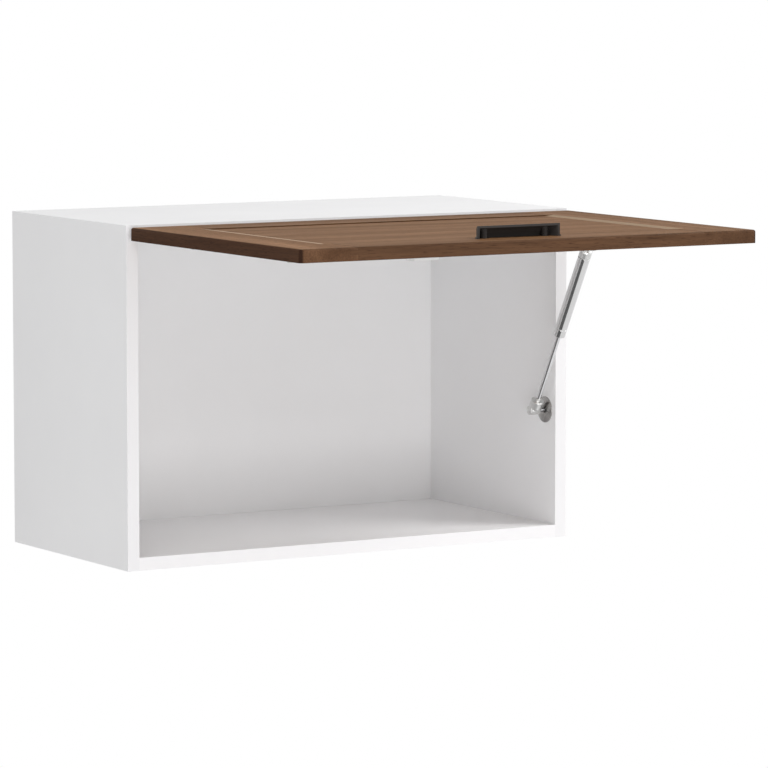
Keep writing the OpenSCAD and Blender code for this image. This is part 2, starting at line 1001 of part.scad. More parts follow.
module hinge_cups() {
    r = cup_dia / 2;
    color("silver")
        on_door()
            both(hinge_x)
                difference() {
                    union() {
                        translate([0, door_in, cup_z])
                            rotate([-90, 0, 0]) {
                                translate([0, 0, -cup_depth])
                                    cylinder(r = r - fit, h = cup_depth + eps);
                                cylinder(d = flange_dia, h = flange_t);
                                translate([0, ear_drop, 0])
                                    round_plate(ear_pitch + ear_over, ear_width, flange_t, ear_corner);
                            }
                    }
                    difference() {
                        translate([0, door_in, cup_z])
                            rotate([-90, 0, 0])
                                translate([0, 0, -cup_depth + cup_floor])
                                    cylinder(r = r - fit - cup_wall, h = cup_depth + 2);
                        // Ears that face the outer link's pins
                        for (s = [-1, 1])
                            translate([s * (ear_low + ear_t / 2), axis_y, axis_z])
                                difference() {
                                    box([-ear_t / 2, axis_in - cup_depth, outer_cup[1] - 2.5],
                                        [ear_t / 2, axis_in, outer_cup[1] + 3]);
                                    translate([0, outer_cup[0], outer_cup[1]])
                                        x_rod(pin_dia / 2 + run, 5);
                                }
                    }
                    at_cup_screw_holes_here();
                }
}

// Screw holes of one cup's flange, in that cup's own frame
module at_cup_screw_holes_here() {
    for (s = [-1, 1])
        translate([s * ear_pitch / 2, door_in + flange_t, cup_z - ear_drop])
            rotate([-90, 0, 0])
                screw_hole(small_screw);
}

module cup_screws() {
    color("silver")
        on_door()
            at_cup_screws()
                screw([small_screw[0], small_screw[1], small_screw[2], 0.8]);
}

// Mounting plate of one hinge, under the top panel
module hinge_plates() {
    color("silver")
        both(hinge_x)
            difference() {
                union() {
                    translate([0, front + plate_back, under_top - plate_t])
                        round_plate(plate_w, plate_l, plate_t, plate_corner);
                    box([-spine_half, front + spine_front, under_top - plate_t],
                        [spine_half, front + arm_len, under_top]);
                    box([-ear_low + fit, front + boss_front, arm_top],
                        [ear_low - fit, front + arm_len - arm_short, under_top]);
                }
                for (s = [-1, 1])
                    translate([s * plate_screw_x, front + plate_back, under_top - plate_t])
                        mirror([0, 0, 1])
                            screw_hole(wood_screw);
                at_arm_screws_here()
                    cylinder(d = arm_screw_dia + 2 * fit, h = 20);
            }
}

module hinge_plate_screws() {
    color("silver")
        at_plate_screws()
            screw(wood_screw);
}

arm_screw_dia = 4;
arm_screw_ys = [26, 46];
arm_screw_head = 7;
web_t = 1.2;
web_front = 14;
cheek_h = 9;
cheek_elbow = 13;

module at_arm_screws_here() {
    for (y = arm_screw_ys)
        translate([0, front + y, arm_top - web_t])
            children();
}

// Side view of an arm's cheek, as [y, z], forward to the two arm pivots
function cheek_points() = [
    [inner_arm[0] - 1.9, inner_arm[1] - 1.2],
    [inner_arm[0] - 1.2, inner_arm[1] + 1.9],
    [outer_arm[0], outer_arm[1] + 2.4],
    [front + 3, outer_arm[1] + 3.4],
    [front + web_front, arm_top],
    [front + arm_len, arm_top],
    [front + arm_len, arm_top - cheek_h],
    [front + web_front, arm_top - cheek_elbow],
    [outer_arm[0] + 2, outer_arm[1] - 2.6],
    [inner_arm[0] - 0.6, inner_arm[1] - 1.9]];

// Arm of one hinge: two cheeks joined by a web under the mounting plate
module arm() {
    difference() {
        union() {
            for (s = [-1, 1])
                translate([s * (ear_low + cheek_t / 2) - cheek_t / 2, 0, 0])
                    rotate([90, 0, 90])
                        linear_extrude(cheek_t)
                            polygon(cheek_points());
            box([-ear_low - cheek_t, front + web_front, arm_top - web_t],
                [ear_low + cheek_t, front + arm_len, arm_top]);
        }
        for (p = [outer_arm, inner_arm])
            translate([0, p[0], p[1]])
                x_rod(pin_dia / 2 + run, 30);
        at_arm_screws_here()
            translate([0, 0, -1])
                cylinder(d = arm_screw_dia + 2 * fit, h = 5);
    }
}

module hinge_arm_left() {
    color("silver")
        translate([-hinge_x, 0, 0])
            arm();
}

module hinge_arm_right() {
    color("silver")
        translate([hinge_x, 0, 0])
            arm();
}

// Screws that hold each arm to its plate, heads down between the cheeks
module hinge_arm_screws() {
    color("gray")
        both(hinge_x)
            at_arm_screws_here()
                difference() {
                    union() {
                        cylinder(d = arm_screw_dia, h = web_t + boss_t + plate_t - 0.2);
                        translate([0, 0, -2])
                            cylinder(d = arm_screw_head, h = 2);
                    }
                    for (a = [0, 90])
                        rotate([0, 0, a])
                            translate([-2, -0.4, -3])
                                cube([4, 0.8, 2]);
                }
}

// Arm pins: one right through for the inner link, two short ones for the outer link
module hinge_pins() {
    far = ear_low + cheek_t + 0.4;
    color("gray")
        both(hinge_x) {
            translate([0, inner_arm[0], inner_arm[1]])
                x_rod(pin_dia / 2, 2 * far);
            for (s = [-1, 1])
                translate([s * (far + outer_low) / 2, outer_arm[0], outer_arm[1]])
                    x_rod(pin_dia / 2, far - outer_low);
        }
}

// Flat link between an arm pivot and a cup pivot, centred on x = 0
module link_plate(a, c, t) {
    v = c - a;
    l = norm(v);
    translate([0, a[0], a[1]])
        rotate([atan2(-v[0], v[1]), 0, 0])
            difference() {
                union() {
                    x_rod(link_eye, t);
                    translate([0, 0, l])
                        x_rod(link_eye, t);
                    box([-t / 2, -link_bar, 0], [t / 2, link_bar, l]);
                }
                for (z = [0, l])
                    translate([0, 0, z])
                        x_rod(pin_dia / 2 + run, t + 1);
            }
}

// Outer links: a plate each side of the inner link, with a short pin towards the cup's ear
module outer_links() {
    c = cup_pivot(outer_cup);
    color("dimgray")
        both(hinge_x)
            for (s = [-1, 1]) {
                translate([s * (outer_low + link_t / 2), 0, 0])
                    link_plate(outer_arm, c, link_t);
            }
}

// Rivets in the cup ends of the outer links, which stop just short of the cup's ears
module outer_link_pins() {
    c = cup_pivot(outer_cup);
    reach = ear_low - clear;
    color("gray")
        both(hinge_x)
            for (s = [-1, 1])
                translate([s * (outer_low + reach) / 2, c[0], c[1]])
                    x_rod(pin_dia / 2, reach - outer_low);
}

module inner_links() {
    color("dimgray")
        both(hinge_x)
            link_plate(inner_arm, cup_pivot(inner_cup), 2 * inner_half);
}

// Rivets in the cup ends of the inner links
module inner_link_pins() {
    c = cup_pivot(inner_cup);
    color("gray")
        both(hinge_x)
            translate([0, c[0], c[1]])
                x_rod(pin_dia / 2, 2 * (outer_low - clear));
}

// Gas strut

disc_screw_r = 8;
disc_screw = [small_screw[0], small_screw[1], 5, 0.9];
dome_rim = 1;
dome_wall = 0.7;
dome_r = (pow(disc_dia / 2, 2) + pow(dome_h - dome_rim, 2)) / (2 * (dome_h - dome_rim));
disc_edge_r = sqrt(pow(dome_r - dome_wall, 2) - pow(disc_t + clear + dome_r - dome_h, 2));

module at_disc_screws() {
    for (a = [90, 210, 330])
        translate([inner_x - disc_t, low_ball[0] + disc_screw_r * cos(a), low_ball[1] + disc_screw_r * sin(a)])
            rotate([0, -90, 0])
                children();
}

// On the right side panel's inner face, with +Z out of the face
module at_disc() {
    translate([inner_x, low_ball[0], low_ball[1]])
        rotate([0, -90, 0])
            children();
}

// Round steel plate that carries the lower ball
module strut_disc() {
    color("gray")
        difference() {
            at_disc()
                difference() {
                    cylinder(r = disc_edge_r, h = disc_t);
                    translate([0, 0, -1])
                        cylinder(r = neck_r + fit, h = disc_t + 2);
                }
            at_disc_screws()
                screw_hole(small_screw);
        }
}

// Shallow dome standing on z = lo, drawn in by the inset
module dome(inset, lo) {
    intersection() {
        translate([0, 0, lo])
            cylinder(d = disc_dia - 2 * inset, h = dome_h + 1 - lo);
        translate([0, 0, dome_h - dome_r])
            sphere(r = dome_r - inset);
    }
}

// Pressed cap that hides the side plate and its screws
module strut_disc_cap() {
    color("silver")
        at_disc()
            difference() {
                dome(0, 0);
                dome(dome_wall, -1);
                translate([0, 0, -1])
                    cylinder(r = neck_r + fit, h = dome_h + 2);
            }
}

module strut_disc_screws() {
    color("silver")
        at_disc_screws()
            screw(disc_screw);
}

// Ball with its neck along +X
module ball_stud(l) {
    rotate([0, 0, 180])
        sphere(d = ball_dia);
    rotate([0, 90, 0])
        cylinder(r = neck_r, h = l);
}

// Ball and its neck, from the side panel
module strut_lower_ball() {
    color("silver")
        translate([strut_x, low_ball[0], low_ball[1]])
            ball_stud(strut_off);
}

drum_r = 5.6;
drum_left = 8;
drum_right = 5;
collar_lo = 2;
low_collar = 8.2;
low_collar_top = 14.5;
low_collar_edge = 0.7;
top_collar = tube_dia / 2;
top_collar_edge = 0.2;
collar_foot = 3;
collar_foot_in = 2;
stem_r = 3.5;
thread_r = 2.5;
thread_lo = 8;

// Ball socket, ball at the origin and its flat-topped collar up +Z
module socket(collar_r, top, edge) {
    difference() {
        union() {
            translate([-drum_left, 0, 0])
                rotate([0, 90, 0])
                    cylinder(r = drum_r, h = drum_left + drum_right);
            translate([0, 0, collar_lo])
                cylinder(r1 = collar_r - collar_foot_in, r2 = collar_r, h = collar_foot);
            translate([0, 0, collar_lo + collar_foot])
                cylinder(r = collar_r, h = top - edge - collar_lo - collar_foot);
            translate([0, 0, top - edge])
                cylinder(r1 = collar_r, r2 = collar_r - edge, h = edge);
        }
        rotate([0, 0, 180])
            sphere(d = ball_dia + 2 * clear);
        rotate([0, 90, 0])
            cylinder(r = neck_r + 3 * clear, h = 20);
    }
}

module strut_lower_socket() {
    color("lightgray")
        along_strut()
            difference() {
                union() {
                    socket(low_collar, low_collar_top, low_collar_edge);
                    translate([0, 0, thread_lo])
                        cylinder(r = stem_r, h = socket_top - thread_lo);
                }
                translate([0, 0, thread_lo])
                    cylinder(r = thread_r + run, h = socket_top);
            }
}

// Rod: threaded end in the socket, then the polished shaft up to the piston
module strut_rod() {
    color("whitesmoke")
        along_strut() {
            translate([0, 0, thread_lo + 0.2])
                cylinder(r = thread_r, h = socket_top - thread_lo - 0.2 + eps);
            translate([0, 0, socket_top])
                cylinder(d = rod_dia, h = piston_lo - socket_top);
            translate([0, 0, piston_lo - eps])
                cylinder(r = piston_pin, h = piston_l + piston_over);
        }
}
piston_lo = tube_lo + crimp_l + guide_l + 0.5;
piston_pin = 2;
piston_over = 1;

module strut_piston() {
    color("gray")
        along_strut(piston_lo)
            difference() {
                cylinder(d = tube_dia - 2 * tube_wall - 2 * run, h = piston_l);
                translate([0, 0, -1])
                    cylinder(r = piston_pin + run, h = piston_l + 2);
            }
}

crimp_in = 1;
crimp_slope = 1.5;
top_edge = 0.2;
end_t = 2;
end_hole = 3.5;
mouth_gap = 0.6;
ring_at = 11.5;
ring_w = 1;
ring_in = 0.3;

// Tube: rolled in at its lower end under the guide, with a rolled ring that holds it, and closed
// over the plug at its upper end
module strut_tube() {
    r = tube_dia / 2;
    ri = r - tube_wall;
    mouth = rod_dia / 2 + mouth_gap;
    color("silver")
        along_strut(tube_lo)
            rotate_extrude($fn = 64)
                polygon([[mouth, 0], [r - crimp_in, 0], [r, crimp_in],
                    [r, ring_at - ring_w / 2 - ring_in], [r - ring_in, ring_at - ring_w / 2],
                    [r - ring_in, ring_at + ring_w / 2], [r, ring_at + ring_w / 2 + ring_in],
                    [r, tube_len - top_edge], [r - top_edge, tube_len],
                    [end_hole, tube_len], [end_hole, tube_len - end_t], [ri, tube_len - end_t],
                    [ri, crimp_l], [mouth, crimp_l - crimp_slope]]);
}

module strut_guide() {
    color("dimgray")
        along_strut(tube_lo + crimp_l)
            difference() {
                cylinder(d = tube_dia - 2 * tube_wall - 2 * run, h = guide_l);
                translate([0, 0, -1])
                    cylinder(d = rod_dia + 2 * run, h = guide_l + 2);
            }
}

plug_l = 4.5;

// Plug in the tube's upper end, with the stud that the upper socket screws on
module strut_end_plug() {
    color("gray")
        along_strut(tube_hi - end_t) {
            translate([0, 0, -plug_l])
                cylinder(d = tube_dia - 2 * tube_wall - 2 * run, h = plug_l);
            cylinder(r = thread_r, h = end_t + tube_head - thread_lo - 0.2);
        }
}

module strut_upper_socket() {
    color("lightgray")
        along_strut(strut_len)
            difference() {
                mirror([0, 0, 1])
                    socket(top_collar, tube_head, top_collar_edge);
                translate([0, 0, -thread_lo - 2 * tube_head])
                    cylinder(r = thread_r + run, h = 2 * tube_head);
            }
}

// Ball in the upper socket, with the half of its neck that moves with the strut
module strut_upper_ball() {
    color("silver")
        along_strut(strut_len)
            ball_stud(neck_end);
}

// Door bracket: a plate on the right stile with a flange beside the strut

flange_lo = strut_x + 8.5;
flange_w = 2.5;
flange_r = 4.4;
flange_foot = 5;
screw_edge = 7;
rivet_r = 3.2;
rivet_h = 0.8;
bracket_hi_x = flange_lo + flange_w;
bracket_above = 11;
bracket_z0 = door_hi - ball_reach - bracket_l + bracket_above;

module at_bracket_screws() {
    for (z = [screw_edge, bracket_l - screw_edge])
        translate([bracket_hi_x - bracket_w + screw_edge, door_in + bracket_t, bracket_z0 + z])
            rotate([-90, 0, 0])
                children();
}

module door_bracket() {
    z = door_hi - ball_reach;
    y = door_in + ball_lift;
    color("silver")
        on_door()
            difference() {
                union() {
                    box([bracket_hi_x - bracket_w, door_in, bracket_z0],
                        [bracket_hi_x, door_in + bracket_t, bracket_z0 + bracket_l]);
                    translate([flange_lo, 0, 0])
                        rotate([90, 0, 90])
                            linear_extrude(flange_w)
                                polygon([[door_in, bracket_z0], [door_in, bracket_z0 + bracket_l],
                                    [door_in + flange_foot, bracket_z0 + bracket_l],
                                    [y, z + flange_r], [y, z - flange_r],
                                    [door_in + flange_foot, bracket_z0]]);
                    translate([flange_lo + flange_w / 2, y, z])
                        x_rod(flange_r, flange_w);
                }
                translate([flange_lo, y, z])
                    x_rod(neck_r + fit, 20);
                at_bracket_screws()
                    screw_hole(small_screw);
            }
}

// Riveted stud: the fixed half of the upper ball's neck
module door_bracket_stud() {
    reach = neck_end + neck_gap;
    color("silver")
        on_door()
            translate([strut_x, door_in + ball_lift, door_hi - ball_reach])
                rotate([0, 90, 0])
                    translate([0, 0, reach])
                        union() {
                            cylinder(r = neck_r, h = bracket_hi_x - strut_x - reach + rivet_h);
                            translate([0, 0, bracket_hi_x - strut_x - reach])
                                cylinder(r = rivet_r, h = rivet_h);
                        }
}

module door_bracket_screws() {
    color("silver")
        on_door()
            at_bracket_screws()
                screw([small_screw[0], small_screw[1], small_screw[2], 1.4]);
}

side_panel_left();
side_panel_right();
top_panel();
bottom_panel();
back_panel();
cam_bolts();
cams();
cam_caps();
dowels();
back_nails();
hanger_body_left();
hanger_body_right();
hanger_hook_left();
hanger_hook_right();
hanger_cover_left();
hanger_cover_right();
hanger_adjusters();
hanger_screws();
door_stile_left();
door_stile_right();
door_rail_top();
door_rail_bottom();
door_panel();
cup_pull();
pull_screws();
door_bumpers();
hinge_cups();
cup_screws();
hinge_plates();
hinge_plate_screws();
hinge_arm_left();
hinge_arm_right();
hinge_arm_screws();
hinge_pins();
outer_links();
outer_link_pins();
inner_links();
inner_link_pins();
strut_disc();
strut_disc_cap();
strut_disc_screws();
strut_lower_ball();
strut_lower_socket();
strut_rod();
strut_piston();
strut_tube();
strut_guide();
strut_end_plug();
strut_upper_socket();
strut_upper_ball();
door_bracket();
door_bracket_stud();
door_bracket_screws();
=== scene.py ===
# %% [markdown]
# # A wall cabinet with a lift-up door
#
# The real object is a white kitchen wall cabinet. Its brown oak door is hinged at the top and stands
# open, level, on one gas strut. This notebook dresses the cabinet's solids with finishes, and models
# anew the pieces whose roundness a plain solid doesn't show.
#
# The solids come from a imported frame, in metres: +X to the right, +Y to the wall, +Z up.

import math

import bmesh
import bpy
from mathutils import Matrix, Vector


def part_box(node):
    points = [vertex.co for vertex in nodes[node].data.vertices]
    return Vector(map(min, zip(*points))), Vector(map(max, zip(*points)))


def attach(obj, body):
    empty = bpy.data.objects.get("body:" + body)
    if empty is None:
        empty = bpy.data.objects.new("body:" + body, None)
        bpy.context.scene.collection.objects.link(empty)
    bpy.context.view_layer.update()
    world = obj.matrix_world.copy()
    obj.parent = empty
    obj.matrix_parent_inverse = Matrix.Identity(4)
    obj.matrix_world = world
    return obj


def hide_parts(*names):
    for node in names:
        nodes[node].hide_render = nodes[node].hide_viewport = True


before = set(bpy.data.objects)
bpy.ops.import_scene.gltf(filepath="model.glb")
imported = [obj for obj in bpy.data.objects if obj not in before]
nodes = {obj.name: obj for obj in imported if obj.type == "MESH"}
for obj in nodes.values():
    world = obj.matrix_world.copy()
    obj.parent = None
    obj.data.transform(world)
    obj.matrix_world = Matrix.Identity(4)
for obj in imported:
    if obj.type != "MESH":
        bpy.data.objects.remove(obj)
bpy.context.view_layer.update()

# %% [markdown]
# ## The measures that the pieces share
#
# A piece that is modelled anew has to sit exactly where its solid sits. The strut leans, and a
# box says little about a leaning part, so its two ball centres are written down here. Everything
# else on the strut is a distance along the line from the lower ball to the upper one.

# %% Shared measures
MM = 0.001

side_lo, side_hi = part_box("side_panel_right")
PANEL_X = side_lo[0]

LOW_BALL = Vector((0.270, -0.2715, 0.154))
HIGH_BALL = Vector((0.270, -0.3875, 0.3595))
STRUT = HIGH_BALL - LOW_BALL
STRUT_LEN = STRUT.length
STRUT_LEAN = math.atan2(-STRUT.y, STRUT.z)
print("strut:", round(STRUT_LEN / MM, 2), "mm, leaning", round(math.degrees(STRUT_LEAN), 2), "degrees")
print("inner face of the right side panel:", round(PANEL_X / MM, 1), "mm")

# %% [markdown]
# ## The camera
#
# The photo was taken from far off with a long lens, so the boards' far edges are nearly as long as
# the near ones. A long lens from five metres gives the same calm perspective. The place, turn and
# lens come from fitting a pinhole camera to the corners of the carcass and of the door.

# %% Camera
CAMERA_AT = (-2.78138, -5.06293, 0.76997)
CAMERA_TURN = 30.643
CAMERA_PITCH = 5.875
CAMERA_LENS = 220.15

camera_data = bpy.data.cameras.new("camera")
camera_data.lens = CAMERA_LENS
camera_data.sensor_width = 36
camera = bpy.data.objects.new("camera", camera_data)
camera.location = CAMERA_AT
camera.rotation_euler = (math.radians(90 - CAMERA_PITCH), 0, math.radians(-CAMERA_TURN))
bpy.context.scene.collection.objects.link(camera)
bpy.context.scene.camera = camera
bpy.context.scene.view_settings.view_transform = "Standard"
print("camera:", CAMERA_AT)

# %% [markdown]
# ## A floor and a white room
#
# The cabinet hangs in front of plain white. The world gives that white to the camera and to
# reflections, through Light Path, and a weaker, even light to the surfaces. A lit white sheet would do
# as well, but its tone would change with every lamp. The floor lies far below, where it catches the
# shadow without touching the cabinet.

# %% Floor and world
FLOOR_AT = (0, -0.2, -0.9)
FLOOR_R = 2.2
FLOOR_GREY = 0.86
WORLD_LIGHT = 0.4


def plain_paint(name, grey, roughness):
    material = bpy.data.materials.new(name)
    material.use_nodes = True
    shader = material.node_tree.nodes["Principled BSDF"]
    shader.inputs["Base Color"].default_value = (grey, grey, grey, 1)
    shader.inputs["Roughness"].default_value = roughness
    return material


floor_mesh = bpy.data.meshes.new("floor")
bm = bmesh.new()
bmesh.ops.create_circle(bm, cap_ends=True, segments=96, radius=FLOOR_R)
bmesh.ops.translate(bm, verts=bm.verts, vec=FLOOR_AT)
bm.to_mesh(floor_mesh)
bm.free()
floor = bpy.data.objects.new("floor", floor_mesh)
bpy.context.scene.collection.objects.link(floor)
floor_mesh.materials.append(plain_paint("floor_paint", FLOOR_GREY, 0.8))

world = bpy.data.worlds.new("white_room")
bpy.context.scene.world = world
world.use_nodes = True
wt = world.node_tree
background = wt.nodes["Background"]
background.inputs["Color"].default_value = (1, 1, 1, 1)
path = wt.nodes.new("ShaderNodeLightPath")
seen = wt.nodes.new("ShaderNodeMath")
seen.operation = "MAXIMUM"
wt.links.new(path.outputs["Is Camera Ray"], seen.inputs[0])
wt.links.new(path.outputs["Is Glossy Ray"], seen.inputs[1])
seen_too = wt.nodes.new("ShaderNodeMath")
seen_too.operation = "MAXIMUM"
wt.links.new(seen.outputs[0], seen_too.inputs[0])
wt.links.new(path.outputs["Is Transmission Ray"], seen_too.inputs[1])
strength = wt.nodes.new("ShaderNodeMapRange")
strength.inputs["To Min"].default_value = WORLD_LIGHT
strength.inputs["To Max"].default_value = 1.0
wt.links.new(seen_too.outputs[0], strength.inputs["Value"])
wt.links.new(strength.outputs["Result"], background.inputs["Strength"])
print("floor at", FLOOR_AT, "world light", WORLD_LIGHT)

# %% [markdown]
# ## A flag for the strut
#
# Polished round metal in a white room mirrors only white, and its shape is lost. Photographers lay a
# dark card, a flag, out of sight of the camera, and the metal draws it as a dark line along the tube.
# Only mirrored rays see the flag here, so it neither shades the cabinet nor shows in the picture.

# %% Flag
FLAG_AT = (-0.85, -0.72, -0.88)
FLAG_L = 1.6
FLAG_W = 0.62
FLAG_TURN = -30
FLAG_GREY = 0.10

flag_mesh = bpy.data.meshes.new("black_flag")
bm = bmesh.new()
bmesh.ops.create_grid(bm, x_segments=1, y_segments=1, size=0.5)
bmesh.ops.scale(bm, verts=bm.verts, vec=(FLAG_L, FLAG_W, 1))
flag_turn = Matrix.Rotation(math.radians(FLAG_TURN), 3, "Z")
bmesh.ops.rotate(bm, verts=bm.verts, cent=(0, 0, 0), matrix=flag_turn)
bmesh.ops.translate(bm, verts=bm.verts, vec=FLAG_AT)
bm.to_mesh(flag_mesh)
bm.free()
flag = bpy.data.objects.new("black_flag", flag_mesh)
bpy.context.scene.collection.objects.link(flag)
flag.visible_camera = False
flag.visible_diffuse = False
flag.visible_shadow = False
flag.visible_transmission = False
flag_mesh.materials.append(plain_paint("flag_cloth", FLAG_GREY, 0.9))
print("flag at", FLAG_AT)

# %% [markdown]
# ## Lamps
#
# Six large soft boxes light the scene, as in a product photo. The open door is a roof over the
# cabinet's inside, so light has to come in from the sides and from below it. The key light stands
# high on the right and reaches the shelf past the door's end, and a weaker one stands high on the
# left. A pair at the sides lights the side panels, one lamp stands in front, and a low one reaches in
# under the door. Small lamps would throw the door's edge across the back board as a hard shadow. A
# lamp points along its own -Z, so each is turned to look at the cabinet.

# %% Lamps
MIDDLE = (0, -0.25, 0.2)
SIDE_MIDDLE = (0, -0.2, 0.2)


def soft_box(name, at, look, size, watts):
    lamp = bpy.data.lights.new(name, "AREA")
    lamp.shape = "RECTANGLE"
    lamp.size, lamp.size_y = size
    lamp.energy = watts
    ob = bpy.data.objects.new(name, lamp)
    ob.location = at
    ob.rotation_euler = (Vector(look) - Vector(at)).to_track_quat("-Z", "Y").to_euler()
    bpy.context.scene.collection.objects.link(ob)


soft_box("key_box", (1.93, -1.5, 2.42), MIDDLE, (1.4, 1.4), 49)
soft_box("left_high_box", (-1.88, -1.83, 2.26), MIDDLE, (1.4, 1.4), 16)
soft_box("left_box", (-3.0, -0.8, 0.9), SIDE_MIDDLE, (1.6, 1.6), 11)
soft_box("right_box", (3.0, -1.6, 0.9), SIDE_MIDDLE, (1.8, 1.8), 25)
soft_box("front_box", (-0.29, -3.56, 0.91), MIDDLE, (1.6, 1.2), 13)
soft_box("low_box", (-1.08, -3.21, -0.36), MIDDLE, (1.6, 1.0), 29)

# %% [markdown]
# ## Shared shader groups
#
# Effects that several finishes use are built once as node groups. A group gives out only masks,
# values and colours. The Principled shader itself stays in each material.
#
# Small helpers keep the group code short. One adds a node, sets its values and links its inputs. One
# starts a group with its sockets. One multiplies two masks, and one turns a value into a mask that
# rises from 0 to 1 between two limits, or falls.

# %% Node helper
def add(tree, kind, links=None, values=None, **settings):
    node = tree.nodes.new(kind)
    for key, value in settings.items():
        setattr(node, key, value)
    for key, value in (values or {}).items():
        node.inputs[key].default_value = value
    for key, source in (links or {}).items():
        tree.links.new(source, node.inputs[key])
    return node


def new_group(name, inputs, outputs):
    group = bpy.data.node_groups.new(name, "ShaderNodeTree")
    for label, kind, value in inputs:
        socket = group.interface.new_socket(label, in_out="INPUT", socket_type=kind)
        if value is not None:
            socket.default_value = value
    for label, kind in outputs:
        group.interface.new_socket(label, in_out="OUTPUT", socket_type=kind)
    return group, group.nodes.new("NodeGroupInput"), group.nodes.new("NodeGroupOutput")


def both(tree, one, other):
    return add(tree, "ShaderNodeMath", {0: one.outputs[0], 1: other.outputs[0]}, operation="MULTIPLY")


def ramp(tree, source, limits, at_low=0.0, at_high=1.0):
    values = {"From Min": limits[0], "From Max": limits[1], "To Min": at_low, "To Max": at_high}
    return add(tree, "ShaderNodeMapRange", {"Value": source}, values)


FLOAT = "NodeSocketFloat"
VECTOR = "NodeSocketVector"
print("helpers ready")

# %% [markdown]
# ## Oak figure
#
# Oak shows three things at once: broad streaks that follow the growth rings, fine fibres, and short
# dark pores. Each is a noise that is stretched along the grain. The group expects a vector whose X
# runs along the grain, and a Mapping node turns it for each piece. One group then serves the
# stiles, whose grain runs down the door, and the rails and panel, whose grain runs across. A seed
# moves each piece to its own place in the noise, as if it were cut from another board. A picture of
# wood would need unwrapping and would repeat, while noise in object space does neither.

# %% Oak figure group
BEND = (0.0, 0.05, 0.02)
STREAK_STRETCH = (1.6, 34.0, 34.0)
FIBRE_STRETCH = (9.0, 420.0, 420.0)
PORE_STRETCH = (60.0, 1500.0, 1500.0)
STREAK_LIMITS = (0.3, 0.72)
PORE_LIMITS = (0.60, 0.70)

oak_figure, g_in, g_out = new_group(
    "oak_figure",
    [("Vector", VECTOR, None), ("Seed", FLOAT, 0.0)],
    [("Figure", FLOAT), ("Fibres", FLOAT), ("Pores", FLOAT), ("Height", FLOAT)],
)
shift = add(oak_figure, "ShaderNodeCombineXYZ", {"X": g_in.outputs["Seed"], "Y": g_in.outputs["Seed"]})
moved = add(oak_figure, "ShaderNodeVectorMath", {0: g_in.outputs["Vector"], 1: shift.outputs[0]},
            operation="ADD")
bend = add(oak_figure, "ShaderNodeTexNoise", {"Vector": moved.outputs[0]}, {"Scale": 2.6, "Detail": 2.0})
bend_amount = add(oak_figure, "ShaderNodeVectorMath", {0: bend.outputs["Color"]}, {1: BEND},
                  operation="MULTIPLY")
bent = add(oak_figure, "ShaderNodeVectorMath", {0: moved.outputs[0], 1: bend_amount.outputs[0]},
           operation="ADD")


def drawn_noise(stretch, detail, **values):
    drawn = add(oak_figure, "ShaderNodeVectorMath", {0: bent.outputs[0]}, {1: stretch}, operation="MULTIPLY")
    return add(oak_figure, "ShaderNodeTexNoise", {"Vector": drawn.outputs[0]},
               {"Scale": 1.0, "Detail": detail, **values})


streaks = drawn_noise(STREAK_STRETCH, 4.0, Roughness=0.6)
fibres = drawn_noise(FIBRE_STRETCH, 3.0, Roughness=0.65)
pore_noise = drawn_noise(PORE_STRETCH, 1.0)
figure = ramp(oak_figure, streaks.outputs["Fac"], STREAK_LIMITS)
pores = ramp(oak_figure, pore_noise.outputs["Fac"], PORE_LIMITS)
relief = add(oak_figure, "ShaderNodeMath", {0: fibres.outputs["Fac"], 1: pores.outputs[0]},
             operation="SUBTRACT")
oak_figure.links.new(figure.outputs[0], g_out.inputs["Figure"])
oak_figure.links.new(fibres.outputs["Fac"], g_out.inputs["Fibres"])
oak_figure.links.new(pores.outputs[0], g_out.inputs["Pores"])
oak_figure.links.new(relief.outputs[0], g_out.inputs["Height"])
print("group:", oak_figure.name)

# %% [markdown]
# ## Which way a face looks
#
# A board's colour changes with the way a face looks. Its face shows long figure, and its edges along the
# front are darker, partly as their own tone and partly as painted shade over the rounded arris. Its ends, the
# faces that look along X, are darkest. The bevel of a door's stile gets a painted highlight and looks paler,
# and the hollow edge of a rail gets painted shade and looks darker.
#
# Each face could have a material slot of its own, but a mask from the direction of the face does it
# without touching the solid. The true normal is the flat one, without smoothing, and a Vector
# Transform turns it from the world into the object's own space, so a mask holds at any pose. A limit
# is how much of the normal points along an axis. The two slopes count only on faces that look nearly
# straight out of the door, which leaves out its rounded corners.

# %% Facing group
# The free edge's mask begins at a slight lean, so the darkening also covers the rounded arris as painted
# shade.
FREE_EDGE_LIMITS = (0.02, 0.45)
END_LIMITS = (0.15, 0.5)
FACE_ON_LIMITS = (0.88, 0.9)
SLOPE_LIMITS = (0.08, 0.12)
RAIL_SLOPE_LIMITS = (0.04, 0.3)

facing, g_in, g_out = new_group(
    "facing", [], [("Free Edge", FLOAT), ("End", FLOAT), ("Slope", FLOAT), ("Rail Slope", FLOAT)])
geometry = add(facing, "ShaderNodeNewGeometry")
flat = add(facing, "ShaderNodeVectorTransform", {0: geometry.outputs["True Normal"]},
           vector_type="NORMAL", convert_from="WORLD", convert_to="OBJECT")
aim = add(facing, "ShaderNodeSeparateXYZ", {0: flat.outputs[0]})
across, long_way, up = [add(facing, "ShaderNodeMath", {0: aim.outputs[axis]}, operation="ABSOLUTE")
                        for axis in "XYZ"]
free_mask = ramp(facing, long_way.outputs[0], FREE_EDGE_LIMITS)
end_mask = ramp(facing, across.outputs[0], END_LIMITS)
face_on = ramp(facing, up.outputs[0], FACE_ON_LIMITS)
for name, part, (low, high) in (("Slope", across, SLOPE_LIMITS), ("Rail Slope", long_way, RAIL_SLOPE_LIMITS)):
    rising = ramp(facing, part.outputs[0], (low, low + 0.01))
    falling = ramp(facing, part.outputs[0], (high, high + 0.05), at_low=1.0, at_high=0.0)
    slope_mask = both(facing, both(facing, rising, falling), face_on)
    facing.links.new(slope_mask.outputs[0], g_out.inputs[name])
facing.links.new(free_mask.outputs[0], g_out.inputs["Free Edge"])
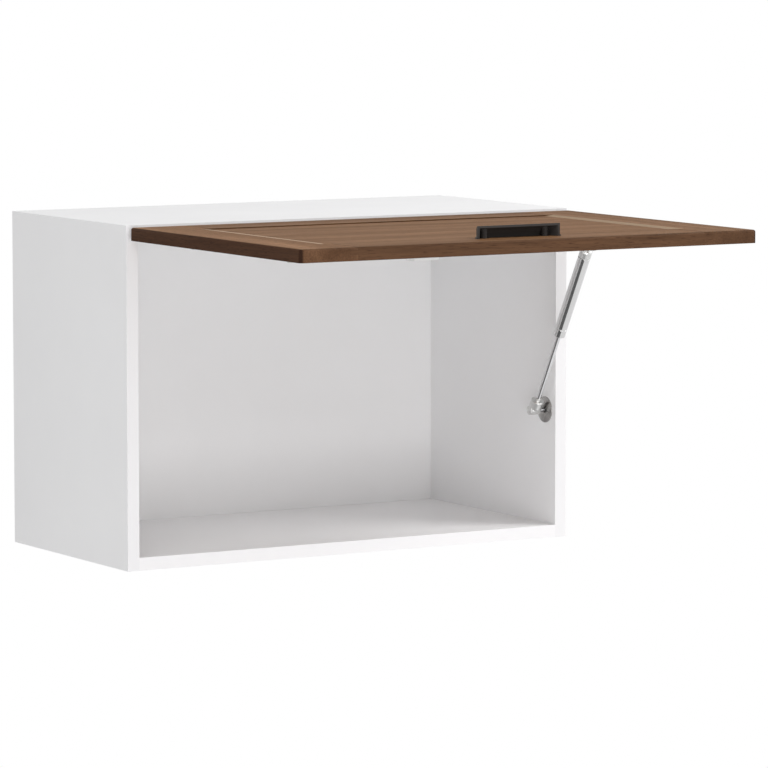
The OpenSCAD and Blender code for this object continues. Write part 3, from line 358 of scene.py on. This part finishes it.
facing.links.new(end_mask.outputs[0], g_out.inputs["End"])
print("group:", facing.name)

# %% [markdown]
# ## Fine surface group
#
# Coated board, moulded plastic, paint and plating are all nearly smooth. What gives them away is a
# faint orange peel and a slow drift in gloss where hands and cloths have been. Without them a surface
# looks computed. One group makes both: a fine noise for the height and a broad one for the wear.

# %% Fine surface group
fine_surface, g_in, g_out = new_group(
    "fine_surface",
    [("Peel Scale", FLOAT, 900.0), ("Wear Scale", FLOAT, 9.0), ("Stretch", VECTOR, (1.0, 1.0, 1.0))],
    [("Peel", FLOAT), ("Wear", FLOAT)],
)
place = add(fine_surface, "ShaderNodeTexCoord")
drawn = add(fine_surface, "ShaderNodeVectorMath", {0: place.outputs["Object"], 1: g_in.outputs["Stretch"]},
            operation="MULTIPLY")
peel = add(fine_surface, "ShaderNodeTexNoise",
           {"Vector": drawn.outputs[0], "Scale": g_in.outputs["Peel Scale"]}, {"Detail": 2.0})
wear = add(fine_surface, "ShaderNodeTexNoise",
           {"Vector": place.outputs["Object"], "Scale": g_in.outputs["Wear Scale"]},
           {"Detail": 3.0, "Roughness": 0.6})
fine_surface.links.new(peel.outputs["Fac"], g_out.inputs["Peel"])
fine_surface.links.new(wear.outputs["Fac"], g_out.inputs["Wear"])
print("group:", fine_surface.name)

# %% [markdown]
# ## A maker for the oak
#
# The door is brown oak with a dull lacquer. The colour moves between a dark and a light brown with the
# figure, and pores are darker still. The lacquer barely shines, so the shader's specular level is low and its
# roughness high. The facing masks darken the free edge, partly as its own tone and partly as painted shade
# over the rounded arris, and they darken the ends. They add a painted highlight on the stiles' bevels and lay
# painted shade in the rails' hollow edges.

# %% Oak maker
OAK_DARK = (0.148, 0.073, 0.032, 1)
OAK_LIGHT = (0.262, 0.137, 0.064, 1)
OAK_PORE = (0.090, 0.040, 0.018, 1)
# The next colour darkens the free edge, partly as the edge's own tone and partly as painted shade over its
# rounded arris.
LONG_EDGE_TONE_AND_SHADE = (0.475, 0.455, 0.50, 1)
# The next colour darkens the ends, the faces that look along X, most of all.
END_EDGE = (0.27, 0.235, 0.25, 1)
# The next two colours are painted highlights added on the stiles' bevels. The second, stronger one is for the
# left stile.
PAINTED_BEVEL_HIGHLIGHT = (0.14, 0.13, 0.10, 1)
PAINTED_STRONG_HIGHLIGHT = (0.34, 0.31, 0.25, 1)
# The next colour is painted shade in the rails' hollow edges.
RAIL_BEVEL_PAINTED_SHADE = (0.55, 0.53, 0.52, 1)
FIBRE_LIMITS = (0.3, 0.7)
FIBRE_DARK = 0.80
FIBRE_LIGHT = 1.18


def oak(name, turn, seed, tone=1.0, painted_highlight=PAINTED_BEVEL_HIGHLIGHT):
    material = bpy.data.materials.new(name)
    material.use_nodes = True
    tree = material.node_tree
    shader = tree.nodes["Principled BSDF"]
    coords = add(tree, "ShaderNodeTexCoord")
    mapping = add(tree, "ShaderNodeMapping", {"Vector": coords.outputs["Object"]})
    mapping.inputs["Rotation"].default_value = (0, 0, math.radians(turn))
    grain = add(tree, "ShaderNodeGroup", node_tree=oak_figure)
    tree.links.new(mapping.outputs[0], grain.inputs["Vector"])
    grain.inputs["Seed"].default_value = seed
    body = add(tree, "ShaderNodeMix", {"Factor": grain.outputs["Figure"]}, data_type="RGBA")
    body.inputs["A"].default_value = OAK_DARK
    body.inputs["B"].default_value = OAK_LIGHT
    fibre = ramp(tree, grain.outputs["Fibres"], FIBRE_LIMITS, FIBRE_DARK * tone, FIBRE_LIGHT * tone)
    toned = add(tree, "ShaderNodeVectorMath", {0: body.outputs["Result"]}, operation="SCALE")
    tree.links.new(fibre.outputs[0], toned.inputs["Scale"])
    pored = add(tree, "ShaderNodeMix", {"Factor": grain.outputs["Pores"], "A": toned.outputs[0]},
                data_type="RGBA")
    pored.inputs["B"].default_value = OAK_PORE
    way = add(tree, "ShaderNodeGroup", node_tree=facing)
    tint = pored.outputs["Result"]
    # The layers darken the free edge, partly with painted shade, and darken the ends. They add a painted
    # highlight on the stiles' bevels and lay painted shade in the rails' hollow edges.
    for mask, blend, colour in (("Free Edge", "MULTIPLY", LONG_EDGE_TONE_AND_SHADE), ("End", "MULTIPLY", END_EDGE),
                                ("Slope", "ADD", painted_highlight), ("Rail Slope", "MULTIPLY", RAIL_BEVEL_PAINTED_SHADE)):
        layer = add(tree, "ShaderNodeMix", {"Factor": way.outputs[mask], "A": tint}, data_type="RGBA",
                    blend_type=blend)
        layer.inputs["B"].default_value = colour
        tint = layer.outputs["Result"]
    tree.links.new(tint, shader.inputs["Base Color"])
    gloss = ramp(tree, grain.outputs["Figure"], (0.0, 1.0), 0.72, 0.62)
    tree.links.new(gloss.outputs[0], shader.inputs["Roughness"])
    bump = add(tree, "ShaderNodeBump", {"Height": grain.outputs["Height"]},
               {"Strength": 0.25, "Distance": 0.0002})
    tree.links.new(bump.outputs[0], shader.inputs["Normal"])
    shader.inputs["IOR"].default_value = 1.45
    shader.inputs["Specular IOR Level"].default_value = 0.1
    return material


print("oak maker ready")

# %% [markdown]
# ## The oak of each door piece
#
# One material over the whole door would let the grain run straight across the joints. Five materials
# share the groups and differ in direction, seed and tone, because boards from one tree still differ.
# The left stile's bevel gets a stronger painted highlight than the right one's.

# %% Oak of the door
# The left stile's bevel takes the stronger painted highlight.
oak_stile_left = oak("oak_stile_left", 90, 0.31, 1.14, PAINTED_STRONG_HIGHLIGHT)
oak_stile_right = oak("oak_stile_right", 90, 1.87, 0.93)
oak_rail_top = oak("oak_rail_top", 0, 3.10, 0.85)
oak_rail_bottom = oak("oak_rail_bottom", 0, 4.65, 0.93)
oak_panel = oak("oak_panel", 0, 6.20)
print("oak:", [m.name for m in bpy.data.materials if m.name.startswith("oak")])

# %% [markdown]
# ## A maker for the plain finishes
#
# White board, plastic, paint and plated steel differ in numbers, not in how they are built: a base colour
# that drifts a little, a gloss that drifts with it, and a faint relief. Each could be built by hand, but one
# function makes them all from the fine surface group, and the numbers then stand side by side. A band, where
# there is one, darkens the edges that the facing group finds, partly as the band's own tone and partly as
# painted shade.

# %% Finish maker
WEAR_LIMITS = (0.3, 0.7)
GLOSS_SPREAD = 0.08


def finish(name, colour, other, roughness, metallic=0.0, peel=900.0, relief=0.05, wear=9.0,
           stretch=(1, 1, 1), ior=1.45, band_and_shade=None):
    material = bpy.data.materials.new(name)
    material.use_nodes = True
    tree = material.node_tree
    shader = tree.nodes["Principled BSDF"]
    surface = add(tree, "ShaderNodeGroup", node_tree=fine_surface)
    surface.inputs["Peel Scale"].default_value = peel
    surface.inputs["Wear Scale"].default_value = wear
    surface.inputs["Stretch"].default_value = stretch
    tone = ramp(tree, surface.outputs["Wear"], WEAR_LIMITS)
    mixed = add(tree, "ShaderNodeMix", {"Factor": tone.outputs[0]}, data_type="RGBA")
    mixed.inputs["A"].default_value = (*colour, 1)
    mixed.inputs["B"].default_value = (*other, 1)
    tint = mixed.outputs["Result"]
    # The band darkens the edges, partly as its own tone and partly as painted shade.
    if band_and_shade:
        way = add(tree, "ShaderNodeGroup", node_tree=facing)
        edge = add(tree, "ShaderNodeMix", {"Factor": way.outputs["Free Edge"], "A": tint}, data_type="RGBA",
                   blend_type="MULTIPLY")
        edge.inputs["B"].default_value = (*band_and_shade, 1)
        tint = edge.outputs["Result"]
    tree.links.new(tint, shader.inputs["Base Color"])
    gloss = ramp(tree, surface.outputs["Wear"], WEAR_LIMITS, roughness - GLOSS_SPREAD / 2,
                 roughness + GLOSS_SPREAD / 2)
    tree.links.new(gloss.outputs[0], shader.inputs["Roughness"])
    bump = add(tree, "ShaderNodeBump", {"Height": surface.outputs["Peel"]},
               {"Strength": relief, "Distance": 0.0001})
    tree.links.new(bump.outputs[0], shader.inputs["Normal"])
    shader.inputs["Metallic"].default_value = metallic
    shader.inputs["IOR"].default_value = ior
    return material


print("finish maker ready")

# %% [markdown]
# ## The plain finishes
#
# The panels are coated chipboard, with a plastic band ironed onto their front and rear edges. The band is
# darker than the faces, partly as its own tone and partly as painted shade that keeps the lamp-lit front
# edges from glaring. The top panel's front edge lies in the door's shade and has no darker band, so there the
# face colour is painted light, and the thin back board has no band. The shelf's colour is lighter than the
# other panels', painted light for the inside under the door.
# The pull is painted steel, so its shader isn't metallic, while screws, hinges and strut are bare
# plating. Drawn or ground steel mirrors sharply and a casting softly, and only roughness tells.

# %% Plain finishes
# The band colour is partly the band's own tone and partly painted shade on the lamp-lit front edges.
BAND_AND_PAINTED_SHADE = (0.93, 0.925, 0.93)
COATED = ((0.885, 0.882, 0.888), (0.87, 0.867, 0.874))
white_board = finish("white_board", *COATED, 0.42, peel=1400, relief=0.12, band_and_shade=BAND_AND_PAINTED_SHADE)
# The top panel has no darker band, so its front edge in the door's shade keeps the face colour as painted
# light.
top_board = finish("top_board", *COATED, 0.42, peel=1400, relief=0.12)
# The shelf's lighter colour is painted light for the inside under the open door.
shelf_board = finish("shelf_board", (0.92, 0.915, 0.92), (0.91, 0.905, 0.91), 0.36, peel=1400,
                     relief=0.12, band_and_shade=BAND_AND_PAINTED_SHADE)
back_board = finish("back_board", (0.87, 0.866, 0.87), (0.855, 0.851, 0.856), 0.5, peel=700, relief=0.15)
white_plastic = finish("white_plastic", (0.90, 0.90, 0.89), (0.88, 0.88, 0.87), 0.45, peel=2500, relief=0.2)
clear_rubber = finish("clear_rubber", (0.62, 0.62, 0.60), (0.58, 0.58, 0.56), 0.35, peel=2500)
seal_plastic = finish("seal_plastic", (0.03, 0.03, 0.03), (0.045, 0.045, 0.045), 0.5)
beech = finish("beech", (0.60, 0.40, 0.22), (0.52, 0.33, 0.17), 0.6, peel=1200, relief=0.4,
               stretch=(0.1, 1, 1))
black_metal = finish("black_metal", (0.042, 0.039, 0.037), (0.052, 0.048, 0.046), 0.5, peel=3000,
                     relief=0.15, ior=1.2)
nickel_steel = finish("nickel_steel", (0.62, 0.62, 0.60), (0.56, 0.56, 0.55), 0.28, metallic=1.0, peel=600,
                      stretch=(1, 0.1, 1))
zinc_steel = finish("zinc_steel", (0.63, 0.64, 0.66), (0.57, 0.58, 0.60), 0.32, metallic=1.0, wear=60)
cast_zinc = finish("cast_zinc", (0.48, 0.48, 0.49), (0.40, 0.40, 0.41), 0.5, metallic=1.0, peel=1500,
                   relief=0.4)
cap_metal = finish("cap_metal", (0.42, 0.41, 0.40), (0.36, 0.35, 0.34), 0.14, metallic=1.0, wear=60)
socket_metal = finish("socket_metal", (0.70, 0.70, 0.69), (0.63, 0.63, 0.62), 0.32, metallic=1.0, wear=80)
tube_metal = finish("tube_metal", (0.70, 0.70, 0.70), (0.66, 0.66, 0.66), 0.12, metallic=1.0, wear=30)
rod_chrome = finish("rod_chrome", (0.74, 0.74, 0.75), (0.70, 0.70, 0.71), 0.1, metallic=1.0, wear=30)
print("finishes:", len(bpy.data.materials))

# %% [markdown]
# ## Turned pieces on the strut
#
# A gas strut is nearly all turned parts: a drawn tube, a ground rod, two ball sockets and two balls. On
# a lathe such a part is one profile turned about an axis, and Blender's spin operator does the same. A
# profile is a chain of vertices in the XZ plane, given as radius and height. Bevelling the vertices
# before the spin rounds every ring of the part at once, which costs far fewer faces than bevelling
# the finished solid.
#
# Small roundings beside a long plain wall would tilt the wall's shading. A Weighted Normal modifier
# lets the large faces decide, so a straight tube mirrors in straight lines.

# %% Lathe helper
def turned(name, profile, place, rounding=0.0, closed=False, steps=56):
    bm = bmesh.new()
    verts = [bm.verts.new((r * MM, 0, z * MM)) for r, z in profile]
    for pair in zip(verts, verts[1:] + (verts[:1] if closed else [])):
        bm.edges.new(pair)
    inner = [v for v in verts if len(v.link_edges) == 2]
    if rounding:
        bmesh.ops.bevel(bm, geom=inner, offset=rounding * MM, offset_type="OFFSET", segments=3, profile=0.5,
                        affect="VERTICES", material=-1, clamp_overlap=True)
    bmesh.ops.spin(bm, geom=bm.verts[:] + bm.edges[:], cent=(0, 0, 0), axis=(0, 0, 1), angle=2 * math.pi,
                   steps=steps, use_merge=True, use_duplicate=False)
    bmesh.ops.remove_doubles(bm, verts=bm.verts, dist=0.00002)
    bmesh.ops.dissolve_degenerate(bm, edges=bm.edges, dist=0.00001)
    bmesh.ops.recalc_face_normals(bm, faces=bm.faces)
    bmesh.ops.transform(bm, verts=bm.verts, matrix=place)
    return bm


def keep(name, *parts):
    mesh = bpy.data.meshes.new(name)
    whole = bmesh.new()
    for part in parts:
        part.to_mesh(mesh)
        part.free()
        whole.from_mesh(mesh)
    for face in whole.faces:
        face.smooth = True
    for edge in whole.edges:
        edge.smooth = len(edge.link_faces) == 2 and edge.calc_face_angle(0) < math.radians(38)
    whole.to_mesh(mesh)
    whole.free()
    piece = bpy.data.objects.new(name, mesh)
    bpy.context.scene.collection.objects.link(piece)
    even = piece.modifiers.new("even_shading", "WEIGHTED_NORMAL")
    even.keep_sharp = True
    print(name, "faces:", len(mesh.polygons))
    return piece


AT_LOW = Matrix.Translation(LOW_BALL) @ Matrix.Rotation(STRUT_LEAN, 4, "X")
AT_HIGH = AT_LOW @ Matrix.Translation((0, 0, STRUT_LEN))
ALONG_X = Matrix.Rotation(math.radians(90), 4, "Y")
print("strut frame ready")

# %% [markdown]
# ## The tube
#
# The tube is drawn steel, plated silver. Its lower mouth is rolled in to hold the rod guide, and a
# shallow ring rolled in above it locks the guide. Its upper end is nearly square and meets the socket's
# collar, which is as wide as the tube. One cylinder cut from another would give the wall, but not the
# mouth and the ring. A profile that is a closed loop gives wall, mouth, ring and hollow in one spin.

# %% Tube
TUBE_R = 7.5
TUBE_WALL = 1.0
HIGH_COLLAR_TOP = 13.5
TUBE_TOP = STRUT_LEN / MM - HIGH_COLLAR_TOP
TUBE_LEN = 113.0
TUBE_BORE_R = TUBE_R - TUBE_WALL
MOUTH_R = 3.6
MOUTH_EDGE = 1.0
RING_AT = 11.5
RING_HALF = 0.5
RING_IN = 0.3
TOP_EDGE = 0.2
TOP_WALL = 2.0
STEM_R = 3.5

tube_profile = [
    (MOUTH_R, 0.0), (TUBE_R - MOUTH_EDGE, 0.0), (TUBE_R, MOUTH_EDGE),
    (TUBE_R, RING_AT - RING_HALF - RING_IN), (TUBE_R - RING_IN, RING_AT - RING_HALF),
    (TUBE_R - RING_IN, RING_AT + RING_HALF), (TUBE_R, RING_AT + RING_HALF + RING_IN),
    (TUBE_R, TUBE_LEN - TOP_EDGE), (TUBE_R - TOP_EDGE, TUBE_LEN),
    (STEM_R, TUBE_LEN), (STEM_R, TUBE_LEN - TOP_WALL), (TUBE_BORE_R, TUBE_LEN - TOP_WALL),
    (TUBE_BORE_R, 3.0), (MOUTH_R, 1.5),
]
tube_place = AT_LOW @ Matrix.Translation((0, 0, (TUBE_TOP - TUBE_LEN) * MM))
tube = keep("tube", turned("tube", tube_profile, tube_place, rounding=0.35, closed=True, steps=72))

# %% [markdown]
# ## The rod
#
# The rod is ground and chromed, so that it slides through its seal. Its lower end is stepped down to a
# thread that screws into the ball socket, and its upper end is stepped down for the piston. A plain
# cylinder would look the same from afar, but up close the step above the socket is what shows that the
# rod is a separate part.

# %% Rod
ROD_R = 3.0
ROD_FOOT = 8.2
THREAD_R = 2.5
THREAD_EDGE = 0.3
SOCKET_TOP = 18.0
PISTON_AT = TUBE_TOP - TUBE_LEN + 14.0
PISTON_SEAT_R = 2.0
PISTON_SEAT_L = 9.0

rod_profile = [
    (0.0, ROD_FOOT), (THREAD_R - THREAD_EDGE, ROD_FOOT), (THREAD_R, ROD_FOOT + THREAD_EDGE),
    (THREAD_R, SOCKET_TOP), (ROD_R, SOCKET_TOP), (ROD_R, PISTON_AT), (PISTON_SEAT_R, PISTON_AT),
    (PISTON_SEAT_R, PISTON_AT + PISTON_SEAT_L), (0.0, PISTON_AT + PISTON_SEAT_L),
]
rod = keep("rod", turned("rod", rod_profile, AT_LOW, rounding=0.12, steps=48))

# %% [markdown]
# ## The ball sockets
#
# Each end of the strut carries a socket: a drum that closes round the ball, and a collar that takes
# the thread. The drum's axis runs across the cabinet and the collar's runs along the strut. They are
# one casting, and here two turned shapes that pass into each other. A boolean union would give one
# skin, with slivers along the seam, and look no different. The drum is open on the side
# where the ball's neck comes in, and a fine groove round it holds the wire clip. The lower collar is
# wide, with a thin stem on top that the rod enters, and the upper one is as wide as the tube.

# %% Sockets
BALL_R = 4.0
HOLLOW_R = 4.3
NECK_HOLE = 3.4
DRUM_R = 5.6
DRUM_FRONT = 5.0
DRUM_BACK = -8.0
CLIP_R = 5.25
BORE_R = 2.6
BORE_FLOOR = 8.0
LOW_COLLAR_R = 8.2
LOW_COLLAR_TOP = 14.5
LOW_COLLAR_EDGE = 0.7


def ball_hollow(steps=8):
    first = math.asin(NECK_HOLE / HOLLOW_R)
    turn = (math.pi - first) / steps
    angles = [first + i * turn for i in range(steps)]
    return [(HOLLOW_R * math.sin(a), HOLLOW_R * math.cos(a)) for a in angles]


drum_profile = [
    (0.0, -7.3), (3.2, -7.3), (3.7, DRUM_BACK), (DRUM_R, DRUM_BACK), (DRUM_R, -6.4), (CLIP_R, -6.2),
    (CLIP_R, -5.4), (DRUM_R, -5.2), (DRUM_R, DRUM_FRONT), (NECK_HOLE, DRUM_FRONT),
] + ball_hollow() + [(0.0, -HOLLOW_R)]
low_collar_profile = [
    (0.0, 2.4), (4.6, 2.0), (6.2, 2.0), (LOW_COLLAR_R, 5.0), (LOW_COLLAR_R, LOW_COLLAR_TOP - LOW_COLLAR_EDGE),
    (LOW_COLLAR_R - LOW_COLLAR_EDGE, LOW_COLLAR_TOP), (STEM_R, LOW_COLLAR_TOP), (STEM_R, SOCKET_TOP),
    (BORE_R, SOCKET_TOP), (BORE_R, BORE_FLOOR), (0.0, BORE_FLOOR),
]
high_collar_profile = [
    (0.0, 2.4), (4.1, 2.0), (5.5, 2.0), (6.9, 3.8), (TUBE_R, 5.6), (TUBE_R, HIGH_COLLAR_TOP - TOP_EDGE),
    (TUBE_R - TOP_EDGE, HIGH_COLLAR_TOP), (BORE_R, HIGH_COLLAR_TOP), (BORE_R, BORE_FLOOR), (0.0, BORE_FLOOR),
]
UPSIDE_DOWN = Matrix.Rotation(math.radians(180), 4, "X")
low_socket = keep(
    "low_socket",
    turned("drum", drum_profile, AT_LOW @ ALONG_X, rounding=0.18, steps=48),
    turned("collar", low_collar_profile, AT_LOW, rounding=0.3, steps=56))
high_socket = keep(
    "high_socket",
    turned("drum", drum_profile, AT_HIGH @ ALONG_X, rounding=0.18, steps=48),
    turned("collar", high_collar_profile, AT_HIGH @ UPSIDE_DOWN, rounding=0.3, steps=48))

# %% [markdown]
# ## The balls
#
# A hardened ball sits in each socket and lets the strut swing. It is turned in one with its neck, and a
# small fillet joins the two, because a sharp corner there would break. Blender has a ready-made ball,
# but no neck grows from it, so the ball is an arc in the same profile as the neck.

# %% Balls
NECK_R = 2.5
NECK_FILLET = 0.2
LOW_NECK_END = 15.0
HIGH_NECK_END = 7.2


def ball_and_neck(reach, steps=14):
    last = math.asin((NECK_R + NECK_FILLET) / BALL_R)
    turn = (math.pi - last) / steps
    angles = [math.pi - i * turn for i in range(steps + 1)]
    ball = [(BALL_R * math.sin(a), BALL_R * math.cos(a)) for a in angles]
    return ball + [(NECK_R, BALL_R * math.cos(last) + 0.5), (NECK_R, reach), (0.0, reach)]


low_ball = keep("low_ball", turned("ball", ball_and_neck(LOW_NECK_END), AT_LOW @ ALONG_X, steps=40))
high_ball = keep("high_ball", turned("ball", ball_and_neck(HIGH_NECK_END), AT_HIGH @ ALONG_X, steps=40))

# %% [markdown]
# ## The domed cap
#
# On the side panel the strut hangs from a small steel plate. A pressed cap clips over it and hides its
# screws. It is polished, so its shallow dome mirrors the dark door above and the white shelf below,
# and that is what makes it look half dark and half white. A flattened ball would bend the image too
# much near the rim. A true arc in the profile keeps it smooth.

# %% Domed cap
CAP_R = 16.0
CAP_H = 4.5
CAP_RIM = 1.0
CAP_WALL = 0.7
CAP_EDGE = 0.25
CAP_HOLE_R = NECK_R + 0.2
DOME_R = (CAP_R ** 2 + (CAP_H - CAP_RIM) ** 2) / (2 * (CAP_H - CAP_RIM))


def dome_arc(radius, r_from, r_to, steps=14):
    radii = [r_from + (r_to - r_from) * i / steps for i in range(steps + 1)]
    return [(r, CAP_H - DOME_R + math.sqrt(radius ** 2 - r ** 2)) for r in radii]


cap_profile = ([(CAP_R, 0.0)] + dome_arc(DOME_R, CAP_R - CAP_EDGE, CAP_HOLE_R)
               + dome_arc(DOME_R - CAP_WALL, CAP_HOLE_R, CAP_R - CAP_WALL) + [(CAP_R - CAP_WALL, 0.0)])
OFF_PANEL = Matrix.Rotation(math.radians(-90), 4, "Y")
cap_place = Matrix.Translation((PANEL_X, LOW_BALL.y, LOW_BALL.z)) @ OFF_PANEL
cap = keep("cap", turned("cap", cap_profile, cap_place, closed=True, steps=80))

# %% [markdown]
# ## Giving the solids their finishes
#
# A solid that is already the right shape keeps its mesh and gets a material in its slots. A table of
# names does this in one loop, and it shows at a glance which pieces share a finish.

# %% Finishes on the solids
FINISHES = {
    "side_panel_left": white_board, "side_panel_right": white_board, "top_panel": top_board,
    "bottom_panel": shelf_board, "back_panel": back_board, "cam_bolts": zinc_steel, "cams": cast_zinc,
    "cam_caps": white_plastic, "dowels": beech, "back_nails": zinc_steel,
    "hanger_body_left": white_plastic, "hanger_body_right": white_plastic,
    "hanger_hook_left": zinc_steel, "hanger_hook_right": zinc_steel,
    "hanger_cover_left": white_plastic, "hanger_cover_right": white_plastic,
    "hanger_adjusters": zinc_steel, "hanger_screws": zinc_steel,
    "door_stile_left": oak_stile_left, "door_stile_right": oak_stile_right,
    "door_rail_top": oak_rail_top, "door_rail_bottom": oak_rail_bottom, "door_panel": oak_panel,
    "cup_pull": black_metal, "pull_screws": zinc_steel, "door_bumpers": clear_rubber,
    "hinge_cups": nickel_steel, "cup_screws": zinc_steel,
    "hinge_plates": nickel_steel, "hinge_plate_screws": zinc_steel,
    "hinge_arm_left": nickel_steel, "hinge_arm_right": nickel_steel, "hinge_arm_screws": zinc_steel,
    "hinge_pins": zinc_steel, "outer_links": nickel_steel, "outer_link_pins": zinc_steel,
    "inner_links": nickel_steel, "inner_link_pins": zinc_steel,
    "strut_disc": zinc_steel, "strut_disc_cap": cap_metal, "strut_disc_screws": zinc_steel,
    "strut_lower_ball": zinc_steel, "strut_lower_socket": socket_metal, "strut_rod": rod_chrome,
    "strut_piston": zinc_steel, "strut_tube": tube_metal, "strut_guide": seal_plastic,
    "strut_end_plug": zinc_steel, "strut_upper_socket": socket_metal, "strut_upper_ball": zinc_steel,
    "door_bracket": nickel_steel, "door_bracket_stud": zinc_steel, "door_bracket_screws": zinc_steel,
}

for name, material in FINISHES.items():
    mesh = nodes[name].data
    if not mesh.materials:
        mesh.materials.append(material)
    for i in range(len(mesh.materials)):
        mesh.materials[i] = material
print("dressed:", len(FINISHES))

# %% [markdown]
# ## Eased edges
#
# Boards and door pieces have machined edges that are never knife sharp, and a sharp edge catches no
# light. Their meshes stay as they are, and a Bevel modifier breaks the edges by a fraction of a
# millimetre. The solids' triangles are separate, and a Weld modifier joins them first.

# %% Eased edges
EASED = {
    "side_panel_left": 0.4, "side_panel_right": 0.4, "top_panel": 0.4, "bottom_panel": 0.4,
    "hanger_cover_left": 0.6, "hanger_cover_right": 0.6, "door_stile_left": 0.5, "door_stile_right": 0.5,
    "door_rail_top": 0.4, "door_rail_bottom": 0.4, "door_panel": 0.3,
}
SAME_POINT = 0.00001

for name, radius in EASED.items():
    weld = nodes[name].modifiers.new("weld", "WELD")
    weld.merge_threshold = SAME_POINT
    bevel = nodes[name].modifiers.new("eased", "BEVEL")
    bevel.width = radius * MM
    bevel.segments = 2
    bevel.limit_method = "ANGLE"
    bevel.angle_limit = math.radians(50)
print("eased:", len(EASED))

# %% [markdown]
# ## The turned pieces take their places
#
# Each turned piece stands for one solid: it rides on the same body, so it moves with it, and the solid
# itself is hidden. One list keeps the four facts on each piece together.

# %% Turned pieces in place
for piece, node, body, slot, material in [
        (tube, "strut_tube", "strut_upper", "tube_metal", tube_metal),
        (rod, "strut_rod", "strut_lower", "rod_chrome", rod_chrome),
        (low_socket, "strut_lower_socket", "strut_lower", "socket_metal", socket_metal),
        (high_socket, "strut_upper_socket", "strut_upper", "socket_metal", socket_metal),
        (low_ball, "strut_lower_ball", "carcass", "zinc_steel", zinc_steel),
        (high_ball, "strut_upper_ball", "strut_upper", "zinc_steel", zinc_steel),
        (cap, "strut_disc_cap", "carcass", "cap_metal", cap_metal)]:
    piece.data.materials.append(material)
    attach(piece, body)
    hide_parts(node)
print("turned pieces placed")
